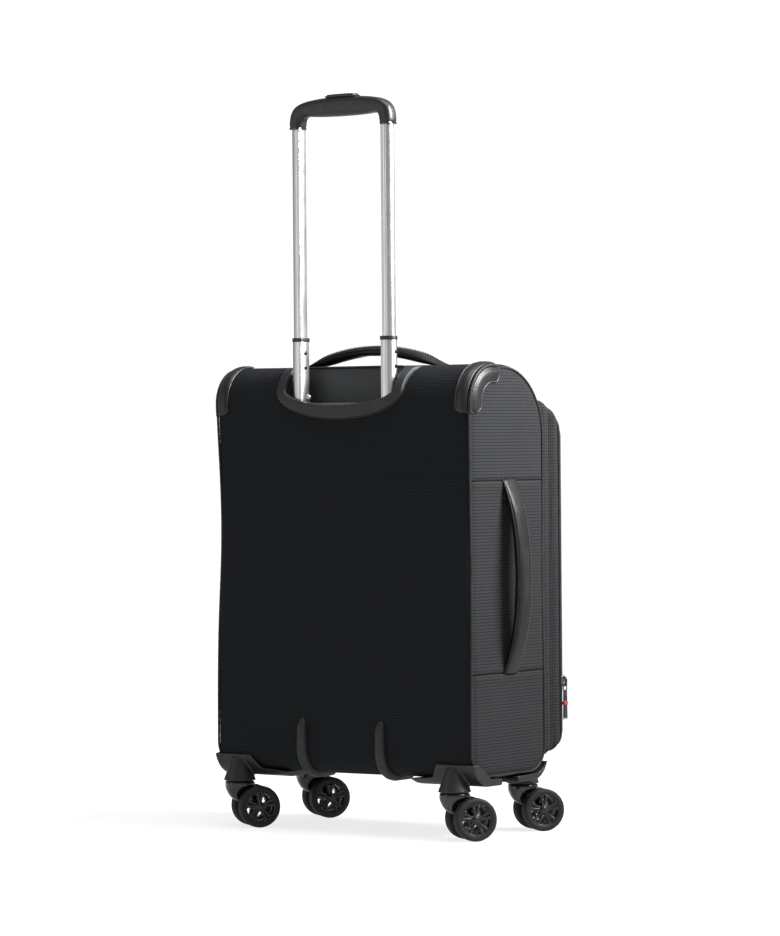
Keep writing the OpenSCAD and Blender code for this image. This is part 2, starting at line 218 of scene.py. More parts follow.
def resample(path, step, closed=False):
    """Points at an even distance along a path."""
    path = np.asarray(path, float)
    at = lengths(path, closed)
    if closed:
        path = np.vstack([path, path[:1]])
    count = max(2, int(round(at[-1] / step)))
    wanted = np.linspace(0, at[-1], count + 1)
    if closed:
        wanted = wanted[:-1]
    return np.stack([np.interp(wanted, at, path[:, i]) for i in range(path.shape[1])], axis=1)


def ring_faces(rows, columns):
    """The faces of a stack of rings, with both its ends filled."""
    ends = [tuple(range(columns))[::-1], tuple(range((rows - 1) * columns, rows * columns))]
    return grid_faces(rows, columns, wrap_columns=True) + ends


def circle(radius, count=10):
    """A round section."""
    turn = np.arange(count) * 2 * math.pi / count
    return np.stack([radius * np.cos(turn), radius * np.sin(turn)], axis=1)


def squared(width, height, power=4.0, count=24):
    """A section between a rectangle and an ellipse."""
    turn = (np.arange(count) + 0.5) * 2 * math.pi / count
    c, s = np.cos(turn), np.sin(turn)
    reach = (np.abs(c) ** power + np.abs(s) ** power) ** (-1 / power)
    return np.stack([width / 2 * reach * c, height / 2 * reach * s], axis=1)


def unit(vectors):
    """Vectors brought to a length of one."""
    return vectors / np.linalg.norm(vectors, axis=1)[:, None]


def frames(path, ups, closed):
    """Side and up directions along a path."""
    if closed:
        forward = np.roll(path, -1, axis=0) - np.roll(path, 1, axis=0)
    else:
        forward = np.gradient(path, axis=0)
    forward = unit(forward)
    side = unit(np.cross(forward, np.broadcast_to(ups, path.shape)))
    return side, np.cross(side, forward)


def sweep(name, path, section, material, ups=(0, 0, 1), closed=False, sizes=None):
    """Carries a section, or one section a point, along a path; sizes scales it point by point."""
    path = np.asarray(path, float)
    side, up = frames(path, np.asarray(ups, float), closed)
    section = np.asarray(section, float)
    if section.ndim == 2:
        section = np.broadcast_to(section, (len(path),) + section.shape)
    if sizes is not None:
        section = section * np.asarray(sizes, float).reshape(len(path), 1, -1)
    grid = path[:, None] + side[:, None] * section[:, :, :1] + up[:, None] * section[:, :, 1:]
    rows, columns = grid.shape[:2]
    faces = grid_faces(rows, columns, True, True) if closed else ring_faces(rows, columns)
    uv = together(lengths(section[0], closed=True)[None, :-1], lengths(path)[:, None]).reshape(-1, 2)
    return face_outward(new_piece(name, grid.reshape(-1, 3), faces, material, uv))


def lathe(name, profile, material, matrix=None, count=48):
    """A closed profile of [radius, height] turned round an axis, then placed by matrix, in millimetres."""
    profile = np.asarray(profile, float)
    turn = np.arange(count) * 2 * math.pi / count
    radius = profile[None, :, 0]
    grid = together(radius * np.cos(turn)[:, None], radius * np.sin(turn)[:, None], profile[None, :, 1])
    faces = grid_faces(count, len(profile), wrap_rows=True, wrap_columns=True)
    return placed(face_outward(new_piece(name, grid.reshape(-1, 3), faces, material), weld=True), matrix)


def placed(piece, matrix):
    """Moves a piece's mesh by a matrix whose shift is in millimetres."""
    if matrix is not None:
        move = matrix.copy()
        move.translation *= MM
        piece.data.transform(move)
        if move.determinant() < 0:
            piece.data.flip_normals()
    return piece


def rounded_box(name, low, high, radius, material, segments=3):
    """A box with rounded edges, from corner to corner in millimetres."""
    low, high = np.asarray(low, float), np.asarray(high, float)
    work = bmesh.new()
    bmesh.ops.create_cube(work, size=1)
    bmesh.ops.scale(work, vec=tuple((high - low) * MM), verts=work.verts)
    bmesh.ops.translate(work, vec=tuple((high + low) / 2 * MM), verts=work.verts)
    bmesh.ops.bevel(work, geom=work.edges[:], offset=radius * MM, segments=segments, affect="EDGES",
                    profile=0.5, clamp_overlap=True)
    mesh = bpy.data.meshes.new(name)
    work.to_mesh(mesh)
    work.free()
    mesh.shade_smooth()
    mesh.materials.append(material)
    return linked(name, mesh)


# ---------------------------------------------------------------- materials

class Shader:
    """A material under construction, with short ways to add nodes."""

    def __init__(self, name, color, roughness, metallic=0.0, specular=0.5, **constants):
        self.material = bpy.data.materials.new(name)
        self.material.use_nodes = True
        self.material.diffuse_color = (*color, 1)
        self.tree = self.material.node_tree
        self.base = self.tree.nodes["Principled BSDF"]
        self.set(self.base, {"Base Color": (*color, 1), "Roughness": roughness, "Metallic": metallic,
                             "Specular IOR Level": specular})
        self.set(self.base, {key.replace("_", " "): value for key, value in constants.items()})

    def set(self, node, values):
        for key, value in values.items():
            if isinstance(value, bpy.types.NodeSocket):
                self.tree.links.new(value, node.inputs[key])
            else:
                node.inputs[key].default_value = value

    def node(self, kind, values=(), **settings):
        found = self.tree.nodes.new("ShaderNode" + kind)
        for key, value in settings.items():
            setattr(found, key, value)
        self.set(found, dict(values))
        return found

    def math(self, operation, a, b=0.0, c=0.0):
        return self.node("Math", {0: a, 1: b, 2: c}, operation=operation).outputs[0]

    def wave(self, coordinate, pitch, shift=0.0):
        """A smooth wave from 0 to 1 with one crest every pitch millimetres."""
        turn = self.math("MULTIPLY_ADD", coordinate, 2 * math.pi / (pitch * MM), shift)
        return self.math("MULTIPLY_ADD", self.math("SINE", turn), 0.5, 0.5)

    def coordinates(self, layer=None):
        """Separate coordinates: along the cloth where a layer is named, else in the part's own space."""
        if layer:
            source = self.node("UVMap", uv_map=layer).outputs[0]
        else:
            source = self.node("TexCoord").outputs["Object"]
        split = self.node("SeparateXYZ", {0: source})
        return source, split.outputs[0], split.outputs[1], split.outputs[2]

    def noise(self, vector, scale, detail=3.0, stretch=None):
        if stretch:
            vector = self.node("Mapping", {"Vector": vector, "Scale": stretch}).outputs[0]
        values = {"Vector": vector, "Scale": scale, "Detail": detail, "Roughness": 0.55}
        return self.node("TexNoise", values).outputs["Fac"]

    def ramp(self, factor, stops):
        """A value or colour ramp, from a list of (place, value or colour)."""
        found = self.node("ValToRGB", {"Fac": factor})
        elements = found.color_ramp.elements
        while len(elements) < len(stops):
            elements.new(0.5)
        for element, (place, value) in zip(elements, stops):
            element.position = place
            element.color = (*value, 1) if hasattr(value, "__len__") else (value, value, value, 1)
        return found.outputs[0]

    def mix(self, factor, a, b, blend="MIX"):
        found = self.node("Mix", data_type="RGBA", blend_type=blend)
        self.set(found, {0: factor})
        for index, value in ((6, a), (7, b)):
            self.set(found, {index: value if isinstance(value, bpy.types.NodeSocket) else (*value, 1)})
        return found.outputs[2]

    def bump(self, height, depth, previous=None):
        """Relief of a depth in millimetres, on top of an earlier one."""
        values = {"Height": height, "Distance": depth * MM, "Strength": 1.0}
        if previous is not None:
            values["Normal"] = previous
        return self.node("Bump", values).outputs[0]

    def two_tone(self, factor, dark, light, low=0.3, high=0.7):
        """A colour between two, where the factor is between low and high."""
        return self.mix(self.ramp(factor, [(low, 0.0), (high, 1.0)]), dark, light)

    def relief(self, *layers):
        """Several reliefs on top of each other, from (height, depth in millimetres)."""
        found = None
        for height, depth in layers:
            found = self.bump(height, depth, found)
        return found

    def finish(self, **sockets):
        self.set(self.base, {key.replace("_", " "): value for key, value in sockets.items()})
        return self.material


def fabric(name, dark, light, pitch=3.7, rib_depth=0.35):
    """Ribbed polyester: soft ribs across the cloth, a fine twill between them, and uneven yarn, with painted
    shade darkening the rib grooves.
    """
    shader = Shader(name, light, 0.8, specular=0.1)
    source, u, v, _ = shader.coordinates("cloth")
    yarn = shader.noise(source, 1400, 2, stretch=(1, 3, 1))
    drift = shader.noise(source, 9, 3)
    wander = shader.math("MULTIPLY_ADD", drift, 0.0006, v)
    rib = shader.ramp(shader.wave(wander, pitch), [(0.0, 0.0), (0.34, 0.75), (1.0, 1.0)])
    twill = shader.wave(shader.math("ADD", u, v), 0.62)
    warp = shader.wave(u, 0.55)
    grain = shader.math("MULTIPLY_ADD", twill, 0.35, shader.math("MULTIPLY", yarn, 0.65))
    # The rib factor darkens the colour between the ribs: painted groove shade over the real yarn and twill
    # tone.
    tone = shader.math("MULTIPLY", grain, shader.math("MULTIPLY_ADD", rib, 0.45, 0.55))
    tone = shader.math("MULTIPLY_ADD", drift, 0.25, shader.math("MULTIPLY", tone, 1.25))
    weave = shader.math("ADD", twill, shader.math("MULTIPLY", warp, 0.6))
    return shader.finish(Base_Color=shader.two_tone(tone, dark, light, 0.15, 0.95),
                         Roughness=shader.ramp(yarn, [(0.2, 0.68), (0.8, 0.92)]),
                         Normal=shader.relief((rib, rib_depth), (weave, 0.09), (yarn, 0.08)))


def leather(name, dark, light, roughness, grain=0.9, depth=0.12, specular=0.4):
    """Coated trim: a fine pebbled grain, a few soft creases and rubbed high spots."""
    shader = Shader(name, light, roughness, specular=specular, Coat_Weight=0.06, Coat_Roughness=0.3)
    source = shader.coordinates()[0]
    cell = shader.node("TexVoronoi", {"Vector": source, "Scale": 1 / (grain * MM), "Randomness": 0.9},
                       feature="SMOOTH_F1").outputs["Distance"]
    crease = shader.noise(source, 60, 5)
    smudge = shader.noise(source, 14, 3)
    rubbed = shader.ramp(smudge, [(0.3, roughness - 0.07), (0.7, roughness + 0.1)])
    return shader.finish(Base_Color=shader.two_tone(crease, dark, light), Roughness=rubbed,
                         Normal=shader.relief((cell, depth), (crease, 0.5)))


def plastic(name, dark, light, roughness, grain=0.5, depth=0.03, specular=0.5, **constants):
    """Moulded plastic: spark-eroded grain, faint flow marks and scuffs."""
    shader = Shader(name, light, roughness, specular=specular, **constants)
    source = shader.coordinates()[0]
    pores = shader.noise(source, 1 / (grain * MM), 2)
    flow = shader.noise(source, 18, 4)
    scuff = shader.noise(source, 120, 6, stretch=(1, 1, 4))
    tone = shader.math("MULTIPLY_ADD", flow, 0.6, shader.math("MULTIPLY", pores, 0.4))
    worn = shader.ramp(scuff, [(0.35, roughness - 0.06), (0.68, roughness + 0.12)])
    return shader.finish(Base_Color=shader.two_tone(tone, dark, light), Roughness=worn,
                         Normal=shader.relief((pores, depth), (flow, 0.12)))


def metal(name, dark, light, roughness, stretch=(1, 1, 0.02), scale=900):
    """Metal with the fine lines of its drawing or brushing, and handling marks."""
    shader = Shader(name, light, roughness, metallic=1.0, specular=0.5)
    source = shader.coordinates()[0]
    lines = shader.noise(source, scale, 3, stretch=stretch)
    marks = shader.noise(source, 35, 4)
    worn = shader.ramp(marks, [(0.35, roughness - 0.02), (0.7, roughness + 0.05)])
    return shader.finish(Base_Color=shader.two_tone(lines, dark, light), Roughness=worn,
                         Normal=shader.bump(lines, 0.001))


def lining_cloth(name, dark, light):
    """Thin quilted-print lining: a small diamond weave with a slight satin gloss."""
    shader = Shader(name, light, 0.6, specular=0.35, Sheen_Weight=0.1)
    source, x, y, z = shader.coordinates()
    along = shader.math("ADD", x, y)
    rising = shader.wave(shader.math("ADD", along, z), 9.0)
    falling = shader.wave(shader.math("SUBTRACT", along, z), 9.0)
    diamond = shader.ramp(shader.math("MULTIPLY", rising, falling), [(0.0, 0.0), (0.2, 1.0)])
    thread = shader.noise(source, 1200, 2)
    color = shader.mix(shader.math("MULTIPLY", diamond, thread), dark, light)
    return shader.finish(Base_Color=color, Normal=shader.relief((diamond, 0.12), (thread, 0.05)))


def webbing(name, dark, light):
    """Woven tape: raised cross ribs with a chevron of yarn."""
    shader = Shader(name, light, 0.7, specular=0.3, Sheen_Weight=0.1)
    source, u, v, _ = shader.coordinates("cloth")
    rib = shader.wave(v, 1.6)
    chevron = shader.wave(shader.math("ADD", shader.math("ABSOLUTE", u), v), 2.4)
    yarn = shader.noise(source, 1500, 2)
    tone = shader.math("MULTIPLY_ADD", chevron, 0.5, shader.math("MULTIPLY", yarn, 0.5))
    return shader.finish(Base_Color=shader.mix(tone, dark, light),
                         Normal=shader.relief((rib, 0.25), (yarn, 0.1)))


# The back and the sides are one cloth. The side copy, also used on the front border, gusset, lid and pocket,
# has about twice the colour of the back copy: painted light on the lit side.
BACK_CLOTH = fabric("back_cloth", (0.003, 0.0035, 0.0042), (0.015, 0.0168, 0.0195))
LIT_SIDE_CLOTH = fabric("side_cloth_painted_lit", (0.007, 0.0075, 0.008), (0.034, 0.035, 0.037))
PLAIN_CLOTH = fabric("under_cloth", (0.008, 0.008, 0.009), (0.02, 0.02, 0.022), pitch=1.4, rib_depth=0.1)
GUARD_SKIN = leather("guard_skin", (0.004, 0.0043, 0.005), (0.010, 0.0105, 0.012), 0.38, specular=0.35)
HANDLE_SKIN = leather("handle_skin", (0.004, 0.0042, 0.0046), (0.010, 0.0105, 0.0115), 0.45, grain=0.7,
                      specular=0.25)
EDGE_BEAD = leather("edge_bead", (0.02, 0.021, 0.023), (0.06, 0.062, 0.066), 0.35, grain=0.6, depth=0.05)
PIPING = leather("piping_vinyl", (0.008, 0.0085, 0.0095), (0.022, 0.023, 0.026), 0.5, grain=1.3,
                 specular=0.25)
THREAD = plastic("stitch_thread", (0.03, 0.03, 0.032), (0.09, 0.09, 0.094), 0.6, grain=0.25, depth=0.05)
# Near-black colour for the cords laid in the side seams: painted seam shade.
SEAM_SHADE = plastic("painted_seam_shade", (0.002, 0.002, 0.002), (0.006, 0.006, 0.006), 0.8, grain=0.3,
                      specular=0.1)
# A lighter copy of the matte plastic for the recess tray: painted light making up for the shade inside the
# recess.
LIT_RECESS_PLASTIC = plastic("recess_plastic_painted_lit", (0.018, 0.020, 0.022), (0.028, 0.031, 0.034), 0.5, specular=0.4)
MATTE = plastic("matte_plastic", (0.009, 0.0105, 0.0115), (0.016, 0.018, 0.020), 0.5, specular=0.4)
SHELL = plastic("caster_housing_plastic", (0.008, 0.0085, 0.0095), (0.014, 0.015, 0.0165), 0.42, specular=0.4)
GLOSS = plastic("gloss_plastic", (0.003, 0.003, 0.0035), (0.006, 0.006, 0.0065), 0.2, grain=1.2, depth=0.01,
                Coat_Weight=0.3, Coat_Roughness=0.08)
GRIP = plastic("grip_plastic", (0.005, 0.0053, 0.006), (0.011, 0.0115, 0.013), 0.36, grain=0.35, depth=0.035)
WHEEL = plastic("wheel_plastic", (0.007, 0.007, 0.0075), (0.014, 0.014, 0.0145), 0.28, grain=0.8, depth=0.06)
RUBBER = plastic("tyre_rubber", (0.007, 0.007, 0.007), (0.012, 0.012, 0.0125), 0.62, grain=0.6, depth=0.07,
                 specular=0.35)
ALLOY = metal("drawn_alloy", (0.56, 0.57, 0.585), (0.70, 0.71, 0.725), 0.3)
STEEL = metal("steel", (0.42, 0.42, 0.43), (0.62, 0.62, 0.64), 0.28, stretch=(1, 0.05, 1), scale=500)
ZIP_METAL = metal("zip_metal", (0.10, 0.10, 0.105), (0.30, 0.30, 0.31), 0.32, stretch=(1, 1, 1), scale=300)
TEETH = plastic("zip_teeth", (0.010, 0.010, 0.011), (0.03, 0.03, 0.032), 0.35, grain=1.0)
PULL = plastic("pull_rubber", (0.008, 0.008, 0.009), (0.018, 0.018, 0.019), 0.5, grain=0.6, depth=0.05)
ACCENT = plastic("red_accent", (0.42, 0.015, 0.01), (0.62, 0.03, 0.02), 0.45)
LINING = lining_cloth("lining_cloth", (0.06, 0.062, 0.066), (0.15, 0.155, 0.16))
TAPE = webbing("webbing_tape", (0.012, 0.012, 0.013), (0.04, 0.04, 0.043))


# ---------------------------------------------------------------- the case's surface

def outline_table():
    """Rows of distance, y, z and outward normal, from the foot of the front, under the case and over it."""
    rows = []
    for centre_y, centre_z, radius, start in CORNERS:
        for angle in np.radians(np.linspace(start, start + 90, 46)):
            c, s = math.cos(angle), math.sin(angle)
            rows.append((centre_y + radius * c, centre_z + radius * s, c, s))
    rows = np.array(rows)
    steps = np.linalg.norm(np.diff(rows[:, :2], axis=0), axis=1)
    return np.column_stack([np.concatenate([[0], np.cumsum(steps)]), rows])


OUTLINE = outline_table()
# Distances along the outline where the back panel starts, where the top's back edge starts, and the end
S_BACK = OUTLINE[91, 0]
S_EDGE = OUTLINE[92, 0]
S_END = OUTLINE[-1, 0]


def s_on_back(z):
    """Distance along the outline at a height on the back panel."""
    return S_BACK + z - BACK_LOW_Z


def s_over_edge(y):
    """Distance along the outline where the back edge's curve reaches y."""
    return S_EDGE + TOP_BACK_R * math.acos((y - (BACK_Y - TOP_BACK_R)) / TOP_BACK_R)


def on_outline(s):
    """y, z and the outward normal at a distance along the outline."""
    return [np.interp(s, OUTLINE[:, 0], OUTLINE[:, i]) for i in (1, 2, 3, 4)]


SEAM_X = HALF_W - 1.6
SAG = 6.5
SAG_Z, SAG_SPREAD = 382, 112
# How far the cloth rolls over the case's edges, and how far from a seam it starts to
ROLL, ROLL_REACH = 3.6, 13.0


def edge_x(side, y, z):
    """How far the side seam is from the middle: the softer right back edge has sagged inward."""
    backness = ease((y - FRONT_Y) / (BACK_Y - FRONT_Y) * 1.1)
    sag = SAG * bump_at(z, SAG_Z, SAG_SPREAD) if side == RIGHT else 0.8 * bump_at(z, 300, 90)
    return SEAM_X - sag * backness


def band_x(x, y, z):
    """Moves a point of the band between the side panels with the seam that it nears."""
    side = np.where(x < 0, LEFT, RIGHT)
    edge = np.where(side == LEFT, edge_x(LEFT, y, z), edge_x(RIGHT, y, z))
    return x + side * (edge - SEAM_X) * ease((np.abs(x) - 90) / (SEAM_X - 90))


def cloth_swell(x, s):
    """The band's small swells and hollows, and its dip to the side seams."""
    near = np.clip((np.abs(x) - SEAM_X + ROLL_REACH) / ROLL_REACH, 0, 1)
    waves = 0.45 * np.sin(x / 47 + 0.6 * np.sin(s / 83)) * np.sin(s / 71 + x / 190)
    return waves * (1 - near) - ROLL * (1 - np.sqrt(1 - near ** 2))


def on_band(x, s, height=0.0):
    """Points on the band round the case, lifted along its normal."""
    x, s = np.broadcast_arrays(np.asarray(x, float), np.asarray(s, float))
    y, z, ny, nz = on_outline(s)
    lift = height + cloth_swell(x, s)
    return np.stack([band_x(x, y, z), y + ny * lift, z + nz * lift], axis=-1)


def seam_distance(y, z):
    """How far inside the side outline a point is; negative outside it."""
    inside = np.minimum(np.minimum(BACK_Y - y, y - FRONT_Y), np.minimum(TOP_Z - z, z - BOTTOM_Z))
    for centre_y, centre_z, radius, start in CORNERS:
        sy = 1 if start in (0, 270) else -1
        sz = 1 if start in (0, 90) else -1
        corner = ((y - centre_y) * sy > 0) & ((z - centre_z) * sz > 0)
        inside = np.where(corner, np.minimum(inside, radius - np.hypot(y - centre_y, z - centre_z)), inside)
    return inside


def rolled_in(y, z, inside):
    """A side panel's points near its edge, drawn inward to meet the rolled edge of the band."""
    step = 0.4
    slope_y = (seam_distance(y + step, z) - seam_distance(y - step, z)) / (2 * step)
    slope_z = (seam_distance(y, z + step) - seam_distance(y, z - step)) / (2 * step)
    pull = ROLL * np.exp(-inside / 4.5)
    return y + slope_y * pull, z + slope_z * pull


HANDLE_LOW_Z, HANDLE_HIGH_Z = box_mm("side_handle")[0][2], box_mm("side_handle")[1][2]
SIDE_SEAMS = (HANDLE_LOW_Z, HANDLE_HIGH_Z)


def on_side(side, y, z, height=0.0):
    """Points on a side panel, with its crown, its sewn cross seams and its piping's hollow."""
    y, z = np.broadcast_arrays(np.asarray(y, float), np.asarray(z, float))
    inside = np.maximum(seam_distance(y, z), 0)
    crown = 2.6 * (1 - np.exp(-inside / 7)) - 0.9 * bump_at(inside, 4.5, 2.2)
    seams = 0
    for seam in SIDE_SEAMS:
        seams = seams - 1.5 * bump_at(z, seam, 1.5)
        seams = seams + 0.7 * bump_at(z, seam - 6, 5) + 0.4 * bump_at(z, seam + 5, 4)
    soft = 0.5 * np.sin(y / 31 + 0.8) * np.sin(z / 67 + y / 90)
    reach = edge_x(side, y, z) + crown + (seams + soft) * ease(inside / 14) + height
    y, z = rolled_in(y, z, inside)
    return np.stack([side * reach, y, z], axis=-1)


# ---------------------------------------------------------------- case: back, top, underside and sides

CUP_LOW, CUP_HIGH = box_mm("recess_cup")
CUP_HALF = CUP_HIGH[0]
S_LIP_ENDS = S_EDGE + 18
LIP_DROP = 18.0
LIP_HALF = 79.0
S_CUP_FRONT = s_over_edge(CUP_LOW[1])


def lip_s(x):
    """Distance along the outline of the recess's lower lip."""
    return S_LIP_ENDS - LIP_DROP * np.sqrt(np.maximum(1 - (x / LIP_HALF) ** 2, 0))


def spread(low, high, step):
    return np.linspace(low, high, max(2, int(round(abs(high - low) / step)) + 1))


def case_cover():
    """The back and top cover: one cloth from the underside to the front seam, open at the recess."""
    half = np.concatenate([spread(0, LIP_HALF, 8), spread(LIP_HALF, 170, 9)[1:], spread(170, SEAM_X, 2)[1:]])
    columns = np.concatenate([-half[::-1], half[1:]])
    below = np.concatenate([spread(S_BACK - 44, S_BACK, 4), spread(S_BACK, S_EDGE - 60, 9)[1:],
                            spread(S_EDGE - 60, S_LIP_ENDS, 4)[1:]])
    through = spread(S_LIP_ENDS, S_CUP_FRONT, 3.5)[1:]
    above = spread(S_CUP_FRONT, S_END, 4)[1:]
    rows = np.concatenate([below, through, above])
    x, s = np.meshgrid(columns, rows)
    follow = ease((s - (S_EDGE - 60)) / (S_LIP_ENDS - S_EDGE + 60)) * (s <= S_LIP_ENDS + 1e-6)
    s = s + np.where(np.abs(x) <= LIP_HALF + 1e-6, (lip_s(x) - S_LIP_ENDS) * follow, 0)
    first, last = len(below) - 1, len(below) + len(through) - 1

    def keep(row, column):
        middle = abs(columns[column] + columns[column + 1]) / 2 < LIP_HALF
        return not (middle and first <= row < last)

    grid = on_band(x, s)
    cover = grid_piece("case_cover", grid, BACK_CLOTH, np.stack([x, s], axis=2), True, keep=keep)
    thicken(cover, 2.0, inner=LINING)
    return finish_piece(cover, "case", "fabric_back", "back_panel", "top_panel")


def under_cover():
    """The hard-wearing cloth under the case."""
    columns = spread(-SEAM_X, SEAM_X, 9)
    x, s = np.meshgrid(columns, spread(0, S_BACK - 43, 4))
    cover = grid_piece("under_cover", on_band(x, s, -0.3), PLAIN_CLOTH, np.stack([x, s], axis=2), True)
    thicken(cover, 2.0, inner=LINING)
    return finish_piece(cover, "case", "fabric_back", "bottom_panel")


def outline_y(z, front):
    """Where the side outline is at a height, at its front or at its back."""
    corners = (CORNERS[0], CORNERS[3]) if front else (CORNERS[1], CORNERS[2])
    turn = -1 if front else 1
    y = np.full_like(z, FRONT_Y if front else BACK_Y)
    for (centre_y, centre_z, radius, _), up in zip(corners, (-1, 1)):
        away = np.clip((z - centre_z) * up, 0, radius)
        y = np.where(away > 0, centre_y + turn * np.sqrt(np.maximum(radius ** 2 - away ** 2, 0)), y)
    return y


def side_cover(side):
    """One side panel, in three sewn parts, crowned between its seams."""
    arcs = [centre_z + up * radius * np.sin(np.radians(np.linspace(0, 90, 16)))
            for (_, centre_z, radius, _), up in zip(CORNERS, (-1, -1, 1, 1))]
    near = [seam + np.array([-12, -8, -5, -3, -1.5, 0, 1.5, 3, 5, 8]) for seam in SIDE_SEAMS]
    heights = np.unique(np.round(np.concatenate(arcs + near + [spread(110, 460, 8)]), 2))
    heights = heights[np.concatenate([[True], np.diff(heights) > 0.35])]
    heights[-1] = TOP_Z
    across = 0.5 - 0.5 * np.cos(np.linspace(0, math.pi, 33))
    across = 0.55 * across + 0.45 * np.linspace(0, 1, 33)
    low = outline_y(heights, True)[:, None]
    high = outline_y(heights, False)[:, None]
    y = low + (high - low) * across[None, :]
    z = np.broadcast_to(heights[:, None], y.shape)
    name = "side_cover_" + SIDE_NAMES[side]
    cover = grid_piece(name, on_side(side, y, z), LIT_SIDE_CLOTH, np.stack([y, z], axis=2), flip=side == LEFT)
    thicken(cover, 2.0, inner=LINING)
    return finish_piece(cover, "case", "fabric_side", "side_panel_" + SIDE_NAMES[side])


def side_piping(side):
    """The vinyl piping that joins a side panel to the band, all the way round."""
    s = resample(OUTLINE[:, 1:3], 3.0, closed=True)
    y, z = s[:, 0], s[:, 1]
    x = side * (edge_x(side, y, z) + 0.3)
    middle = np.array([(FRONT_Y + BACK_Y) / 2, (TOP_Z + BOTTOM_Z) / 2])
    out = unit(s - middle)
    inward = ROLL + 0.6
    path = together(x, y - out[:, 0] * inward, z - out[:, 1] * inward)
    ups = together(0, out[:, 0], out[:, 1])
    pulse = 1 + 0.045 * np.sin(np.arange(len(path)) * 2.1)
    piping = sweep("piping_" + SIDE_NAMES[side], path, circle(1.45, 10), PIPING, ups, True, pulse)
    return finish_piece(piping, "case", "leather_trim")


# ---------------------------------------------------------------- trim on the case

GUARD_LOW = box_mm("corner_guards")[0]
GUARD_BACK_W, GUARD_SIDE_W = 17.0, 21.0
S_GUARD = (s_on_back(GUARD_LOW[2]), S_EDGE + (OUTLINE[137, 0] - S_EDGE) + CORNERS[2][0] - GUARD_LOW[1])


def lay_seam_shade_cords(side):
    """Near-black cords laid in the sunken seams where the three parts of a side panel are sewn together, as
    painted seam shade.
    """
    for number, seam in enumerate(SIDE_SEAMS):
        y = spread(float(outline_y(np.array([seam]), True)[0]) + 2, BACK_Y - 2, 3)
        path = on_side(side, y, seam, 0.25)
        name = f"seam_shade_line_{SIDE_NAMES[side]}_{number}"
        thread = sweep(name, path, circle(0.75, 6), SEAM_SHADE, (side, 0, 0))
        finish_piece(thread, "case", "fabric_side")


def end_round(s, start, stop, reach=9.0):
    """How wide a patch is at s, as a share: 1 between its two round ends."""
    near = np.clip(np.minimum(s - start, stop - s) / reach, 0, 1)
    return (1 - (1 - near) ** 2.4) ** (1 / 2.4)


def guard_point(side, across, s, height=0.0):
    """A point on a corner guard: across is negative on the band and positive on the side panel."""
    across, s = np.broadcast_arrays(np.asarray(across, float), np.asarray(s, float))
    y, z, ny, nz = on_outline(s)
    band = on_band(side * (SEAM_X + np.minimum(across, 0)), s, height + 1.0)
    inside = np.maximum(across, 0)
    panel = on_side(side, y - ny * inside, z - nz * inside, height + 1.0)
    return np.where((across < 0)[..., None], band, panel)


def guard_lobe(side, width, name):
    """One puffed half of a corner guard, on the band (width below 0) or on the side panel."""
    s = S_GUARD[0] + (S_GUARD[1] - S_GUARD[0]) * ease(np.linspace(0.02, 0.98, 61))
    across = np.linspace(0.06, 1, 15)
    puff = 2.3 * np.clip(1 - np.abs(2 * across - 1) ** 2.6, 0, 1) ** 0.75 - 0.3
    share = end_round(s, *S_GUARD)
    grid = guard_point(side, width * share[:, None] * across[None, :], s[:, None],
                       puff[None, :] * np.minimum(1, share[:, None] * 1.1))
    flip = (side == LEFT) == (width > 0)
    return grid_piece(name, grid, GUARD_SKIN, flip=not flip)


def corner_guard(side):
    """A padded corner guard: two puffed lobes, a bead all round and a ridge of piping between them."""
    name = "corner_guard_" + SIDE_NAMES[side]
    lobes = [guard_lobe(side, -GUARD_BACK_W, name), guard_lobe(side, GUARD_SIDE_W, name + "_side")]
    guard = soften(thicken(joined(name, lobes), 1.2))
    s = spread(*S_GUARD, 1.5)
    share = end_round(s, *S_GUARD)
    for part, width in (("back", -GUARD_BACK_W), ("side", GUARD_SIDE_W)):
        path = resample(guard_point(side, width * share, s, 0.2), 1.5)
        label = f"guard_bead_{part}_{SIDE_NAMES[side]}"
        bead = sweep(label, path, circle(0.8, 8), EDGE_BEAD, (side, 0.6, 0.4))
        finish_piece(bead, "case", "leather_trim")
    y, z, ny, nz = on_outline(s)
    depth = ROLL - 1.4
    ridge = np.column_stack([side * (edge_x(side, y, z) + 1.4), y - ny * depth, z - nz * depth])
    ups = together(side, ny, nz)
    ridge = sweep("guard_ridge_" + SIDE_NAMES[side], ridge, circle(1.7, 10), PIPING, ups)
    finish_piece(ridge, "case", "leather_trim")
    return finish_piece(guard, "case", "leather_trim", "corner_guards")


SURROUND_HALF = box_mm("trolley_surround")[1][0]
SURROUND_DROP = 33.5
S_ARM_END = S_EDGE + 60


def crescent(half, top_half, drop, shift=0.0, count=61):
    """x and s along one edge of the surround: up one arm, round the bottom and up the other arm."""
    turn = np.linspace(0, math.pi, count)
    x = half * np.cos(turn)
    s = S_LIP_ENDS + shift - drop * np.sin(turn)
    climb = spread(S_ARM_END, S_LIP_ENDS + shift, 3)[:-1]
    lean = half + (top_half - half) * ease((climb - S_LIP_ENDS) / (S_ARM_END - S_LIP_ENDS)) ** 1.3
    x = np.concatenate([lean, x, -lean[::-1]])
    s = np.concatenate([climb, s, climb[::-1]])
    return x, s


